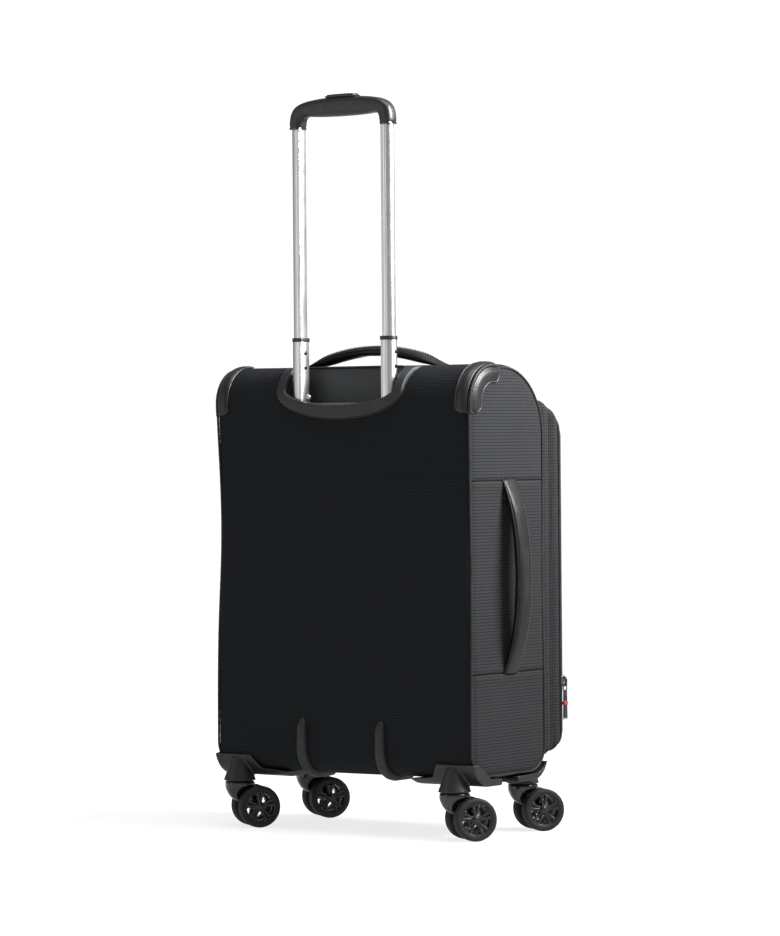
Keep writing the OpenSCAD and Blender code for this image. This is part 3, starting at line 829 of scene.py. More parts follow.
def trolley_surround():
    """The moulded crescent under the recess: a broad band with a rolled lip and a bevelled outer edge."""
    inner_x, inner_s = crescent(LIP_HALF, CUP_HALF - 0.5, LIP_DROP)
    outer_x, outer_s = crescent(SURROUND_HALF, SURROUND_HALF + 5, SURROUND_DROP, -1.5)
    count = min(len(inner_x), len(outer_x))
    places = np.linspace(0, 1, count)
    pick = [np.interp(places, np.linspace(0, 1, len(v)), v) for v in (inner_x, inner_s, outer_x, outer_s)]
    inner_x, inner_s, outer_x, outer_s = pick
    # across the band from the roll inside the recess to the outer foot: share of the width, height
    profile = [(0.02, -8), (-0.01, -4), (0.0, 0.5), (0.035, 3.4), (0.10, 4.9), (0.22, 5.3), (0.45, 4.9),
               (0.68, 4.6), (0.84, 4.5), (0.93, 3.9), (0.985, 2.2), (1.0, -0.6)]
    taper = ease((S_ARM_END - np.maximum(inner_s, outer_s)) / 14)
    rows = []
    for share, height in profile:
        x = inner_x + (outer_x - inner_x) * share
        s = inner_s + (outer_s - inner_s) * share
        rows.append(on_band(x, s, np.where(height > 0, height * (0.25 + 0.75 * taper), height)))
    band = grid_piece("trolley_surround", rows, MATTE, flip=True)
    thicken(band, 1.6)
    soften(band)
    path = on_band(outer_x, outer_s, 0.6)
    bead = sweep("surround_bead", resample(path, 2.5), circle(0.8, 8), PIPING, (0, 1, 0.3))
    finish_piece(bead, "case", "plastic_matte")
    return finish_piece(band, "case", "plastic_matte", "trolley_surround")


def recess_cup():
    """The tray behind the surround, with a flat front wall, round corners and a floor that dips."""
    inner = CUP_HALF - 2.2
    wall_y = CUP_LOW[1] + 2.2
    corner = 13
    turn = np.radians(np.linspace(0, 90, 9))
    right = np.column_stack([inner - corner + corner * np.cos(turn), wall_y + corner - corner * np.sin(turn)])
    start = np.array([[inner, BACK_Y - 1.0], [inner, 66.0], [inner, 61.0]])
    half = np.vstack([start, right, [[50, wall_y], [34, wall_y], [17, wall_y]]])
    plan = np.vstack([half, [[0, wall_y]], half[::-1] * [-1, 1]])
    x, y = plan[:, 0], plan[:, 1]
    over = np.clip(y - (BACK_Y - TOP_BACK_R), 0, TOP_BACK_R)
    rim_z = TOP_Z - TOP_BACK_R + np.sqrt(TOP_BACK_R ** 2 - over ** 2)
    middle = np.array([0, 62.0])
    rows = []
    # height above the floor as a share of the wall, and how far in from it as a share
    steps = [(1, 0), (0.8, 0), (0.5, 0), (0.22, 0), (0.08, 0.01), (0.02, 0.03), (0, 0.07), (0, 0.4), (0, 1)]
    for lift, inset in steps:
        px = x + (middle[0] - x) * inset
        py = y + (middle[1] - y) * inset
        base_z = CUP_LOW[2] - 10.0 + 5.0 * (px / inner) ** 2
        pz = base_z + (rim_z - base_z) * lift
        rows.append(np.column_stack([px, py, pz]))
    cup = grid_piece("recess_cup", rows, LIT_RECESS_PLASTIC, flip=True)
    thicken(cup, 1.6)
    soften(cup)
    rim = np.column_stack([x, y, rim_z + 0.6])[2:-2]
    bead = sweep("recess_rim", resample(rim, 2.0), circle(1.2, 8), PIPING)
    finish_piece(bead, "case", "plastic_matte")
    return finish_piece(cup, "case", "plastic_matte", "recess_cup")


SKID_LOW, SKID_HIGH = box_mm("back_skids")
SKID_X = SKID_HIGH[0] - 7.5


def back_skid(side):
    """One wear skid: a ridged runner with a rounded tip that wraps under the case."""
    start = s_on_back(SKID_HIGH[2])
    stop = S_BACK - BOTTOM_BACK_R * math.pi / 2 - (CORNERS[1][0] - SKID_LOW[1])
    s = spread(start, stop, 2.5)
    run = (start - s) / (start - stop)
    tip = np.clip((start - s) / 13, 0, 1)
    tail = np.clip((s - stop) / 10, 0, 1)
    half = 7.4 * (1 - (1 - tip) ** 2.2) ** 0.5 * (0.84 + 0.16 * ease(run * 2.2)) * (0.35 + 0.65 * ease(tail))
    rise = 6.6 * ease(tip * 0.9 + 0.05) ** 0.6 * (0.3 + 0.7 * ease(tail))
    across = np.array([-1.0, -0.96, -0.86, -0.68, -0.48, -0.34, -0.24, -0.14, 0, 0.14, 0.24, 0.34, 0.48, 0.68,
                       0.86, 0.96, 1.0])
    shape = np.array([-0.15, 0.38, 0.66, 0.82, 0.9, 0.92, 0.86, 0.95, 1.0, 0.95, 0.86, 0.92, 0.9, 0.82, 0.66,
                      0.38, -0.15])
    x = side * SKID_X + half[:, None] * across[None, :]
    grid = on_band(x, s[:, None], rise[:, None] * shape[None, :])
    skid = grid_piece("back_skid_" + SIDE_NAMES[side], grid, MATTE)
    thicken(skid, 1.5)
    soften(skid)
    return finish_piece(skid, "case", "plastic_matte", "back_skids")


# ---------------------------------------------------------------- trolley handle

def tube_outline(width, depth, side, groove=0.5):
    """A tube's section: flat on its inner side, round outside, with two grooves along each broad face."""
    r = depth / 2
    flat = width / 2
    round_x = flat - r
    face = [(-flat, r - 1.0), (-flat + 0.3, r - 0.3), (-flat + 1.0, r), (-flat + 2.4, r),
            (-flat + 2.7, r - groove), (-flat + 3.3, r - groove), (-flat + 3.6, r), (round_x - 1.4, r),
            (round_x - 1.1, r - groove),
            (round_x - 0.5, r - groove), (round_x - 0.2, r)]
    turn = np.radians(np.linspace(90, -90, 15))
    arc = [(round_x + r * math.cos(a), r * math.sin(a)) for a in turn]
    points = np.array(face + arc + [(x, -y) for x, y in face[::-1]])
    return points * [side, 1]


def hollow_prism(name, outline, inner_scale, low_z, high_z, centre, material):
    """A tube of any section between two heights, with a wall and two end faces."""
    outline = np.asarray(outline, float)
    inner = outline * inner_scale
    rings = [(outline, low_z), (outline, high_z - 0.4), (outline * 0.985, high_z), (inner, high_z),
             (inner, low_z)]
    grid = np.array([together(centre[0] + ring[:, 0], centre[1] + ring[:, 1], z) for ring, z in rings])
    faces = grid_faces(len(rings), len(outline), wrap_rows=True, wrap_columns=True)
    piece = face_outward(new_piece(name, grid.reshape(-1, 3), faces, material))
    sharp_edges(piece, 32)
    return piece


def sharp_edges(piece, degrees):
    """Keeps edges over an angle crisp."""
    with bpy.context.temp_override(active_object=piece, selected_editable_objects=[piece], object=piece):
        bpy.ops.object.shade_smooth_by_angle(angle=math.radians(degrees))


TUBE_HALF_W = 6.9
INNER_LOW, INNER_HIGH = box_mm("inner_tubes")
MID_LOW, MID_HIGH = box_mm("mid_tubes")
TUBE_Y = (INNER_LOW[1] + INNER_HIGH[1]) / 2
TUBE_X = INNER_HIGH[0] - TUBE_HALF_W


def tube_pair(node, material, low, high, body):
    """Both tubes of one stage of the handle."""
    depth = high[1] - low[1]
    width = 2 * (high[0] - TUBE_X)
    tubes = []
    for side in (LEFT, RIGHT):
        outline = tube_outline(width, depth, side)
        inner = (width - 2) / width
        tubes.append(hollow_prism(f"{node}_{SIDE_NAMES[side]}", outline, inner, low[2], high[2],
                                  (side * TUBE_X, TUBE_Y), material))
    return finish_piece(joined(node + "_grooved", tubes), body, "alloy_tube", node)


def studs():
    """The two black catch studs on the left face of each middle tube."""
    found = []
    half = MID_HIGH[0] - TUBE_X
    for tube in (LEFT, RIGHT):
        for z in (MID_HIGH[2] - 33, MID_HIGH[2] - 16):
            x = tube * TUBE_X - half
            turn = Matrix.Translation((x + 1.2, TUBE_Y, z)) @ Matrix.Rotation(-math.pi / 2, 4, "Y")
            profile = [(0, 0), (2.5, 0), (2.5, 1.6), (2.2, 2.2), (1.4, 2.5), (0.6, 2.3), (0, 2.2)]
            found.append(lathe("stud", profile, GLOSS, turn, 20))
    return finish_piece(joined("catch_studs", found), "mid_stage", "plastic_gloss")


def collars():
    """The plastic rings that close the middle tubes round the inner ones."""
    low, high = box_mm("mid_collars")
    depth = high[1] - low[1]
    width = 2 * (high[0] - TUBE_X)
    rings = []
    for side in (LEFT, RIGHT):
        outline = tube_outline(width, depth, side, 0.0)
        ring = hollow_prism("collar", outline, 14.6 / width, low[2], high[2], (side * TUBE_X, TUBE_Y), GRIP)
        rings.append(ring)
    return finish_piece(joined("mid_collar_rings", rings), "mid_stage", "plastic_matte", "mid_collars")


GRIP_LOW, GRIP_HIGH = box_mm("grip_shell")


def grip():
    """The handle's grip: an arch moulded round both tubes, with a soft underside."""
    depth = GRIP_HIGH[1] - GRIP_LOW[1]
    foot, top = GRIP_LOW[2], GRIP_HIGH[2]
    half = GRIP_HIGH[0]
    # outer and inner edge of the arch from the left foot to the middle, as [x from the middle, z]
    outer = [(half, foot), (half, foot + 6), (half - 0.6, foot + 13), (half - 2.8, foot + 20.5),
             (half - 8, foot + 27), (half - 18, foot + 31.4), (half - 34, foot + 34),
             (half - 54, foot + 35.4), (0, top)]
    inner = [(57.2, foot), (56.8, foot + 5), (56.2, foot + 9.5), (54.6, foot + 12.8), (51.4, foot + 14.2),
             (46, foot + 14.2), (38, foot + 13.4), (22, foot + 12.6), (0, foot + 12.4)]
    pairs = [(np.array(o) * [s, 1], np.array(i) * [s, 1])
             for s, order in ((LEFT, 1), (RIGHT, -1))
             for o, i in list(zip(outer, inner))[:: order][(0 if s == LEFT else 1):]]
    rings = []
    for out, into in pairs:
        middle, reach = (out + into) / 2, (out - into) / 2
        turn = (np.arange(20) + 0.5) * 2 * math.pi / 20
        c, s = np.cos(turn), np.sin(turn)
        fill = (np.abs(c) ** 3.4 + np.abs(s) ** 3.4) ** (-1 / 3.4)
        rings.append(np.column_stack([middle[0] + reach[0] * c * fill, TUBE_Y + depth / 2 * s * fill,
                                      middle[1] + reach[1] * c * fill]))
    ends = [rings[0] * [1, 1, 0] + [0, 0, foot], rings[-1] * [1, 1, 0] + [0, 0, foot]]
    grid = np.array([ends[0]] + rings[1:-1] + [ends[1]])
    shell = face_outward(new_piece("grip", grid.reshape(-1, 3), ring_faces(*grid.shape[:2]), GRIP))
    soften(shell, 2)
    ledge = []
    for side in (LEFT, RIGHT):
        outline = squared(2 * (half - TUBE_X) - 1.4, depth - 1.2, 5, 28)
        ledge.append(hollow_prism("foot_ring", outline, 0.72, foot - 0.1, foot + 2.2,
                                  (side * (half + 57.2) / 2, TUBE_Y), GLOSS))
    finish_piece(joined("grip_foot_rings", ledge), "handle", "grip_plastic")
    return finish_piece(shell, "handle", "grip_plastic", "grip_shell")


def release_button():
    """The button in the grip's crown: a domed key with five finger ribs, and its bezel on the grip."""
    low, high = box_mm("release_button")
    inset = np.array([0.4, 0.4, 0])
    key = [rounded_box("key", low + inset, high - inset, 1.4, GLOSS)]
    for step in range(-2, 3):
        key.append(rounded_box("rib", [step * 5 - 1, low[1] + 2.2, high[2] - 0.8],
                               [step * 5 + 1, high[1] - 2.2, high[2] + 0.5], 0.5, GLOSS, 2))
    finish_piece(joined("release_key", key), "button", "grip_plastic", "release_button")
    turn = np.linspace(0, 2 * math.pi, 49)[:-1]
    reach = (np.abs(np.cos(turn)) ** 8 + np.abs(np.sin(turn)) ** 8) ** (-1 / 8)
    half = (high - low) / 2
    path = together((half[0] + 1.2) * np.cos(turn) * reach,
                    TUBE_Y + (half[1] + 0.9) * np.sin(turn) * reach, GRIP_HIGH[2] - 0.4)
    bezel = sweep("button_bezel", path, circle(0.9, 8), GLOSS, closed=True)
    return finish_piece(bezel, "handle", "grip_plastic")


# ---------------------------------------------------------------- carry handles

def bow(span, height, middle, count=49, fall=0.92):
    """A bowed handle's line between its anchors, as [along, out]; a higher fall softens its ends."""
    t = np.linspace(-1, 1, count)
    rise = (1 - np.abs(t) ** 2.1) ** fall
    return np.column_stack([middle + t * span / 2, height * rise])


def handle_sections(count, width, thick, strap_w, strap_t):
    """Sections of a padded handle: full in the middle, tapering to a flat strap at each anchor."""
    t = np.abs(np.linspace(-1, 1, count))
    full = 1 - ease((t - 0.62) / 0.36)
    wide = strap_w + (width - strap_w) * full
    deep = strap_t + (thick - strap_t) * full
    section = squared(1, 1, 3.2, 26)
    return np.stack([section * [w, d] for w, d in zip(wide, deep)]), wide, deep


def padded_handle(name, place, span, height, middle, width, thick, strap_w, strap_t, node, below, fall=0.92):
    """A handle over foam: the padded bow, its two rolled seams, and a row of stitches beside each seam.

    place(along, out, across) gives the point in the frame."""
    line = bow(span, height, middle, fall=fall)
    path = place(line[:, 0], line[:, 1] - below, 0 * line[:, 0])
    sections, wide, deep = handle_sections(len(line), width, thick, strap_w, strap_t)
    normal = np.gradient(line, axis=0)
    normal = unit(np.column_stack([-normal[:, 1], normal[:, 0]]))

    def beside(shift, across):
        """The handle's line moved along its own normal, and across it."""
        return place(line[:, 0] + normal[:, 0] * shift, line[:, 1] - below + normal[:, 1] * shift, across)

    ups = beside(1.0, 0 * wide) - path
    pad = sweep(name, path, sections, HANDLE_SKIN, ups)
    puff_up(pad)
    pieces = []
    for edge in (-1, 1):
        seam = beside(deep * 0.10, edge * wide * 0.485)
        roll = sweep("seam_roll", resample(seam, 2.5), circle(1.15, 8), HANDLE_SKIN, ups[len(ups) // 2])
        pieces.append(roll)
    rolls = finish_piece(joined(name + "_rolls", pieces), "case", "leather_trim")
    stitches = [stitch_row(beside(deep / 2 + 0.15, edge * 0.29 * wide), ups) for edge in (-1, 1)]
    finish_piece(joined(name + "_stitches", stitches), "case", "leather_trim")
    finish_piece(pad, "case", "leather_trim", node)
    return rolls


def puff_up(pad, pressure=2.0, cap=1.2, frames_run=14):
    """Inflates a padded piece a little with a cloth simulation, capped so that it keeps its place."""
    start = np.array([v.co for v in pad.data.vertices])
    cloth = pad.modifiers.new("foam", "CLOTH")
    cloth.settings.use_pressure = True
    cloth.settings.uniform_pressure_force = pressure
    cloth.settings.effector_weights.gravity = 0
    cloth.settings.quality = 4
    for step in range(1, frames_run + 1):
        bpy.context.scene.frame_set(step)
    settle(pad)
    bpy.context.scene.frame_set(1)
    moved = np.array([v.co for v in pad.data.vertices]) - start
    far = np.linalg.norm(moved, axis=1)[:, None]
    moved *= np.minimum(1, cap * MM / np.maximum(far, 1e-9))
    for vertex, at in zip(pad.data.vertices, start + moved):
        vertex.co = at
    return soften(pad)


def stitch_row(path, ups, pitch=3.8, length=2.5, radius=0.42):
    """A row of separate stitches laid along a path."""
    path = np.asarray(path, float)
    at = lengths(path)
    ups = np.broadcast_to(np.asarray(ups, float), path.shape)
    starts = np.arange(at[-1] * 0.04, at[-1] * 0.96, pitch)
    points, faces = [], []
    section = circle(1, 6)
    for start in starts:
        base = len(points)
        marks = np.array([0, 0.22, 0.5, 0.78, 1.0]) * length + start
        line = np.stack([np.interp(marks, at, path[:, i]) for i in range(3)], axis=1)
        up = np.stack([np.interp(marks, at, ups[:, i]) for i in range(3)], axis=1)
        side, up = frames(line, unit(up), False)
        line = line + up * np.array([-0.25, 0.12, 0.25, 0.12, -0.25])[:, None]
        size = radius * np.array([0.55, 1, 1, 1, 0.55])
        for mark in range(5):
            ring = line[mark] + (side[mark] * section[:, :1] + up[mark] * section[:, 1:]) * size[mark]
            points.extend(ring.tolist())
        faces += [tuple(base + i for i in face) for face in ring_faces(5, 6)]
    return face_outward(new_piece("stitches", points, faces, THREAD))


def top_handle():
    """The carry handle on top of the case."""
    low, high = box_mm("top_handle")

    def place(along, out, across):
        return together(along, across, TOP_Z + out)

    span = high[0] - low[0] + 6
    height = high[2] - TOP_Z - 3.0
    padded_handle("top_handle", place, span, height, 0, 24, 11.0, 21, 3.4, "top_handle", 2.4, 1.2)


def side_handle():
    """The carry handle on the left side panel, sewn in at the two cross seams."""
    low, high = box_mm("side_handle")
    y_middle = (low[1] + high[1]) / 2

    def place(along, out, across):
        return together(-HALF_W - 1 - out, y_middle + across, along)

    middle = (low[2] + high[2]) / 2
    span, height = high[2] - low[2] + 3, -low[0] - HALF_W - 5.4
    padded_handle("side_handle", place, span, height, middle, 26, 10.5, 25.4, 3.4, "side_handle", 0.8)
    return grip_pattern(place, span, height, middle)


def grip_pattern(place, span, height, middle):
    """Rows of small raised lozenges pressed into the middle of the side handle."""
    line = bow(span, height, middle, 201)
    at = lengths(line)
    points, faces = [], []
    for row in range(-9, 10):
        for column in (-1, 0, 1):
            along = at[-1] / 2 + row * 3.6 + (1.8 if column == 0 else 0)
            centre = [np.interp(along, at, line[:, i]) for i in (0, 1)]
            base = len(points)
            for da, dc, lift in ((1.5, 0, 0), (0, 1.3, 0), (-1.5, 0, 0), (0, -1.3, 0), (0, 0, 0.75)):
                points.append(place(centre[0] + da, centre[1] - 0.8 + 5.1 + lift, column * 2.9 + dc))
            faces += [(base + i, base + (i + 1) % 4, base + 4) for i in range(4)]
            faces.append(tuple(base + i for i in range(4))[::-1])
    pattern = face_outward(new_piece("grip_lozenges", np.array(points), faces, EDGE_BEAD))
    return finish_piece(pattern, "case", "leather_trim")


# ---------------------------------------------------------------- gusset, lid and front pocket

LID_LOW, LID_HIGH = box_mm("gusset")
LID_HALF = LID_HIGH[0]
ZIP_Y = LID_LOW[1]
POCKET_Y = box_mm("lid_tray")[0][1]
FACE_Y = box_mm("front_pocket")[0][1]
POCKET_ZIP_Y = joint("side_pull_turn")[0][1]
LID_CORNER = 13.0
# How far the front's rounded top and foot reach down and up
FORM_DROP, FORM_RISE = 49.0, 27.0
FORM_LEAN = 2.0


def lid_heights(y):
    """The lowest and highest point of the front form at a depth."""
    depth = FRONT_Y - y
    top = np.clip(depth / (FRONT_Y - FACE_Y - FORM_LEAN), 0, 1)
    foot = np.clip(depth / (FRONT_Y - FACE_Y), 0, 1)
    return (LID_LOW[2] + FORM_RISE * (1 - math.sqrt(1 - foot ** 2)),
            LID_HIGH[2] - FORM_DROP * (1 - math.sqrt(1 - top ** 2)))


def depth_share(y):
    """How far a depth is from the case's front, as a share of the front form."""
    return (FRONT_Y - y) / (FRONT_Y - FACE_Y)


def lid_loop(y, inset=0.0, root=False):
    """One closed loop round the front form at a depth, starting at the middle of its top."""
    low, high = lid_heights(y)
    low, high = low + inset, high - inset
    edge = np.clip((POCKET_Y + 1 - y) / 11, 0, 1)
    half = LID_HALF + 2.4 * float(ease(depth_share(y))) - inset - 8 * (1 - math.sqrt(1 - edge ** 2))
    turn = np.radians(np.linspace(0, 90, 9))
    c, s = LID_CORNER * np.cos(turn), LID_CORNER * np.sin(turn)
    quarter = np.vstack([np.column_stack([np.linspace(0, half - LID_CORNER, 12)[:-1], np.full(11, high)]),
                         np.column_stack([half - LID_CORNER + s, high - LID_CORNER + c])])
    side = np.column_stack([np.full(37, half), np.linspace(high - LID_CORNER, low + LID_CORNER, 39)[1:-1]])
    under = np.vstack([np.column_stack([half - LID_CORNER + c, low + LID_CORNER - s]),
                       np.column_stack([np.linspace(half - LID_CORNER, 0, 12)[1:], np.full(11, low)])])
    right = np.vstack([quarter, side, under])
    loop = np.vstack([right, right[1:-1][::-1] * [-1, 1]])
    depth = np.full(len(loop), float(y))
    if root:
        depth = outline_y(loop[:, 1], True) + 0.8
    return np.column_stack([loop[:, 0], depth, loop[:, 1]])


def cloth_uv(grid):
    """Cloth coordinates for the front form: along its depth and up its height."""
    grid = np.asarray(grid, float)
    return np.stack([grid[..., 1] + grid[..., 0] * 0.6, grid[..., 2]], axis=-1)


def loop_cover(name, rows, material, node, slot, body, face=False):
    """A cover made of loops round the front form, closed over its face where asked."""
    grid = list(rows)
    if face:
        edge = grid[-1]
        middle = np.array([0, 0, (edge[:, 2].max() + edge[:, 2].min()) / 2])
        for share in (0.985, 0.96, 0.92, 0.86, 0.76, 0.64, 0.5, 0.35, 0.2, 0.08, 0.02):
            ring = middle + (edge - middle) * share
            ring[:, 1] = edge[:, 1] - 2.2 * (1 - share ** 6) - 0.5 * np.sin(ring[:, 0] / 60) * (1 - share)
            grid.append(ring)
    grid = np.array(grid)
    cover = grid_piece(name, grid, material, cloth_uv(grid), True, cap=face, wrap_columns=True)
    thicken(cover, 1.8, inner=LINING)
    return finish_piece(cover, body, slot, node)


def bulged(y, start, stop, crown):
    """Inset of a strip that swells between its two seams; negative is outward."""
    t = np.clip((y - start) / (stop - start), 0, 1)
    return 1.3 * (np.exp(-t * 9) + np.exp(-(1 - t) * 9)) - crown * math.sin(math.pi * t)


def strip_rows(start, stop, crown, count=11):
    return [lid_loop(y, bulged(y, start, stop, crown)) for y in np.linspace(start, stop, count)]


def front_frame():
    """The cloth border of the case's front, from the side seams in to the gusset."""
    inner = lid_loop(FRONT_Y, 2.0)
    rows = []
    for share in (0, 0.15, 0.4, 0.7, 0.9, 1.0):
        ring = inner.copy()
        reach = np.array([SEAM_X / (LID_HALF - 2), 1.0])
        ring[:, 0] = inner[:, 0] * (1 + (reach[0] - 1) * share)
        height = inner[:, 2] - 297
        ring[:, 2] = 297 + height * (1 + 0.022 * share)
        ring[:, 1] = outline_y(ring[:, 2], True) - 0.5 * math.sin(math.pi * share) + ROLL * share ** 4
        rows.append(ring)
    border = grid_piece("front_frame", rows, LIT_SIDE_CLOTH, cloth_uv(rows), wrap_columns=True)
    thicken(border, 1.5)
    finish_piece(border, "case", "fabric_side")


def front_form():
    """Gusset, lid and front pocket as sewn shells, with piping at each seam."""
    rows = [lid_loop(FRONT_Y, 0.6, root=True)] + strip_rows(FRONT_Y - 1, ZIP_Y + 2.2, 1.3)
    loop_cover("gusset_cover", rows, LIT_SIDE_CLOTH, "gusset", "fabric_side", "case")
    rows = strip_rows(ZIP_Y - 2.2, POCKET_Y + 0.6, 1.0, 9)
    loop_cover("lid_cover", rows, LIT_SIDE_CLOTH, "lid_tray", "fabric_side", "lid")
    rows = strip_rows(POCKET_Y - 0.2, POCKET_ZIP_Y + 1.0, 0.4, 5)
    rows += [lid_loop(POCKET_ZIP_Y, 1.9), lid_loop(POCKET_ZIP_Y - 1.2, 0.7)]
    rows += [lid_loop(y) for y in (POCKET_ZIP_Y - 2.2, POCKET_ZIP_Y - 3.2, POCKET_ZIP_Y - 4.0)]
    loop_cover("pocket_cover", rows, LIT_SIDE_CLOTH, "front_pocket", "fabric_side", "lid", face=True)
    for name, y, inset, radius, body in (("gusset_piping", FRONT_Y - 2.2, -0.3, 1.9, "case"),
                                         ("lid_piping", POCKET_Y + 0.2, 0.2, 1.3, "lid")):
        loop = lid_loop(y, inset)
        if body == "case":
            loop[:, 1] = np.maximum(loop[:, 1], outline_y(loop[:, 2], True) - 2.2)
        piping = sweep(name, resample(loop, 3, True), circle(radius, 8), PIPING, (0, 1, 0), True)
        finish_piece(piping, body, "leather_trim")
    section = squared(1.6, 2.4, 3, 10)
    for body, y in (("case", ZIP_Y + 2.1), ("lid", ZIP_Y - 2.1)):
        path = resample(lid_loop(y, 0.6), 3, True)
        lip = sweep("main_zip_lip_" + body, path, section, LIT_SIDE_CLOTH, (0, 1, 0), True)
        finish_piece(lip, body, "fabric_side")


# ---------------------------------------------------------------- zips

def teeth_row(name, path, ups, side, material, pitch=2.4, reach=1.9, rise=1.1):
    """One side of a zip's chain: a small wedge every pitch, leaning over the middle."""
    path = resample(path, pitch / 2)[:: 2]
    across, up = frames(path, ups(path) if callable(ups) else np.asarray(ups, float), False)
    forward = np.cross(up, across)
    if side > 0:
        path = path + forward * pitch / 2
    points, faces = [], []
    for p, a, u, f in zip(path, across * side, up, forward):
        base = len(points)
        for along, out, lift in ((-0.65, reach, 0), (0.65, reach, 0), (0.45, -0.7, 0), (-0.45, -0.7, 0),
                                 (-0.5, reach - 0.3, rise), (0.5, reach - 0.3, rise), (0.3, -0.5, rise),
                                 (-0.3, -0.5, rise)):
            points.append(p + f * along + a * out + u * lift)
        faces += [tuple(base + i for i in face) for face in
                  ((0, 1, 2, 3), (4, 7, 6, 5), (0, 4, 5, 1), (1, 5, 6, 2), (2, 6, 7, 3), (3, 7, 4, 0))]
    piece = face_outward(new_piece(name, points, faces, material))
    sharp_edges(piece, 40)
    return piece


def outward(loop):
    """Directions that point away from the middle of a loop round the front form."""
    low, high = lid_heights(loop[:, 1].mean())
    x = loop[:, 0] / np.abs(loop[:, 0]).max()
    z = np.clip((loop[:, 2] - (low + high) / 2) / ((high - low) / 2), -1, 1)
    out = np.stack([np.sign(x) * np.abs(x) ** 9, 0 * x, np.sign(z) * np.abs(z) ** 9], axis=1)
    return unit(out)


def loop_zip(name, y, inset, body_a, body_b, above=None, tape=3.4):
    """A zip round the front form: a dark tape and two rows of teeth, each on its own body."""
    loop = lid_loop(y, inset)
    loop = np.vstack([loop, loop[:1]])
    if above is not None:
        start = int(np.argmin(np.abs(loop[:, 2] - above) + (loop[:, 0] < 0) * 1e3))
        stop = int(np.argmin(np.abs(loop[:, 2] - above) + (loop[:, 0] > 0) * 1e3))
        loop = np.vstack([loop[stop:-1], loop[:start + 1]])
    for side, body in ((1, body_a), (-1, body_b)):
        teeth = teeth_row(f"{name}_teeth_{body}_{'a' if side > 0 else 'b'}", loop, outward, side, TEETH)
        finish_piece(teeth, body, "zip_metal")
        shifted = resample(loop + [0, side * tape / 2 * 0.9, 0] - outward(loop) * 0.5, 4)
        strip = sweep(f"{name}_tape_{body}_{'a' if side > 0 else 'b'}", shifted,
                      squared(tape * 0.8, 0.7, 4, 8), TAPE, outward(shifted))
        finish_piece(strip, body, "webbing")


def slider_matrix(name):
    """Where a zip slider is drawn: its puller's pin on the local X axis, and the zip's face towards -Y."""
    place, axis = joint(name + "_pull_turn")
    if name == "main":
        turn = Matrix.Rotation(-math.acos(axis[2]), 4, "X") @ Matrix.Rotation(math.pi / 2, 4, "Y")
    elif name == "side":
        turn = Matrix.Rotation(-math.pi / 2, 4, "Z")
    else:
        turn = Matrix.Identity(4)
    return Matrix.Translation(place) @ turn


def zip_slider(name):
    """A slider's shield-shaped body with its channel, and the bridge that the puller hangs in."""
    body = rounded_box("body", [-3.9, 1.5, -3.9], [3.9, 5.0, 8.9], 1.5, ZIP_METAL, 4)
    for vertex in body.data.vertices:
        vertex.co.x *= 1 - 0.22 * float(ease((2 - vertex.co.z / MM) / 6))
    bridge = sweep("bridge", [(0, 2.2, 6.6), (0, 0.4, 6.5), (0, -1.2, 5.6), (0, -1.7, 4), (0, -1.7, 1.5),
                              (0, -1.7, -0.6), (0, -1.2, -1.8), (0, 0.4, -2.6), (0, 2.2, -2.7)],
                   squared(3.0, 0.9, 4, 12), ZIP_METAL, (1, 0, 0))
    channel = rounded_box("channel", [-0.5, 1.2, -3.6], [0.5, 1.7, 8.6], 0.2, ZIP_METAL, 2)
    slider = placed(joined(name + "_slider_body", [body, bridge, channel]), slider_matrix(name))
    return finish_piece(slider, name + "_slider", "zip_metal", name + "_slider")


def zip_puller(name):
    """A puller: a wire ring, and a rubber pull with finger ribs and a metal tip."""
    length = {"side": 43, "main": 34, "front": 34}[name]
    turn = np.linspace(0, 2 * math.pi, 33)[:-1]
    ring_path = np.column_stack([3.5 * np.sign(np.cos(turn)) * np.abs(np.cos(turn)) ** 0.5, 0 * turn,
                                 -4.2 + 4.9 * np.sign(np.sin(turn)) * np.abs(np.sin(turn)) ** 0.5])
    ring = sweep("ring", ring_path, circle(0.75, 8), ZIP_METAL, (0, 1, 0), True)
    finish_piece(placed(ring, slider_matrix(name)), name + "_puller", "zip_metal")
    ring.name = name + "_pull_ring"
    pull = rounded_box("pull", [-4.0, -1.15, 1.5 - length], [4.0, 1.15, -7.6], 1.1, PULL, 4)
    for vertex in pull.data.vertices:
        vertex.co.x *= 0.82 + 0.18 * float(ease((-vertex.co.z / MM - 8) / 8))
    ribs = [rounded_box("rib", [-2.6, -1.55, z - 0.5], [2.6, 1.55, z + 0.5], 0.45, PULL, 2)
            for z in np.arange(-13, 5 - length, -2.6)]
    body = placed(joined(name + "_pull", [pull] + ribs), slider_matrix(name))
    finish_piece(body, name + "_puller", "pull_plastic", name + "_puller")
    tip = rounded_box(name + "_pull_tip", [-3.6, -1.2, -length + 0.1], [3.6, 1.2, 2.2 - length], 0.7, STEEL)
    finish_piece(placed(tip, slider_matrix(name)), name + "_puller", "zip_metal")
    if name == "side":
        band = rounded_box("pull_band", [-3.9, -1.62, -25.5], [3.9, 1.62, -21.5], 0.5, ACCENT)
        finish_piece(placed(band, slider_matrix(name)), name + "_puller", "pull_plastic")


FACE_ZIP_HALF = 112


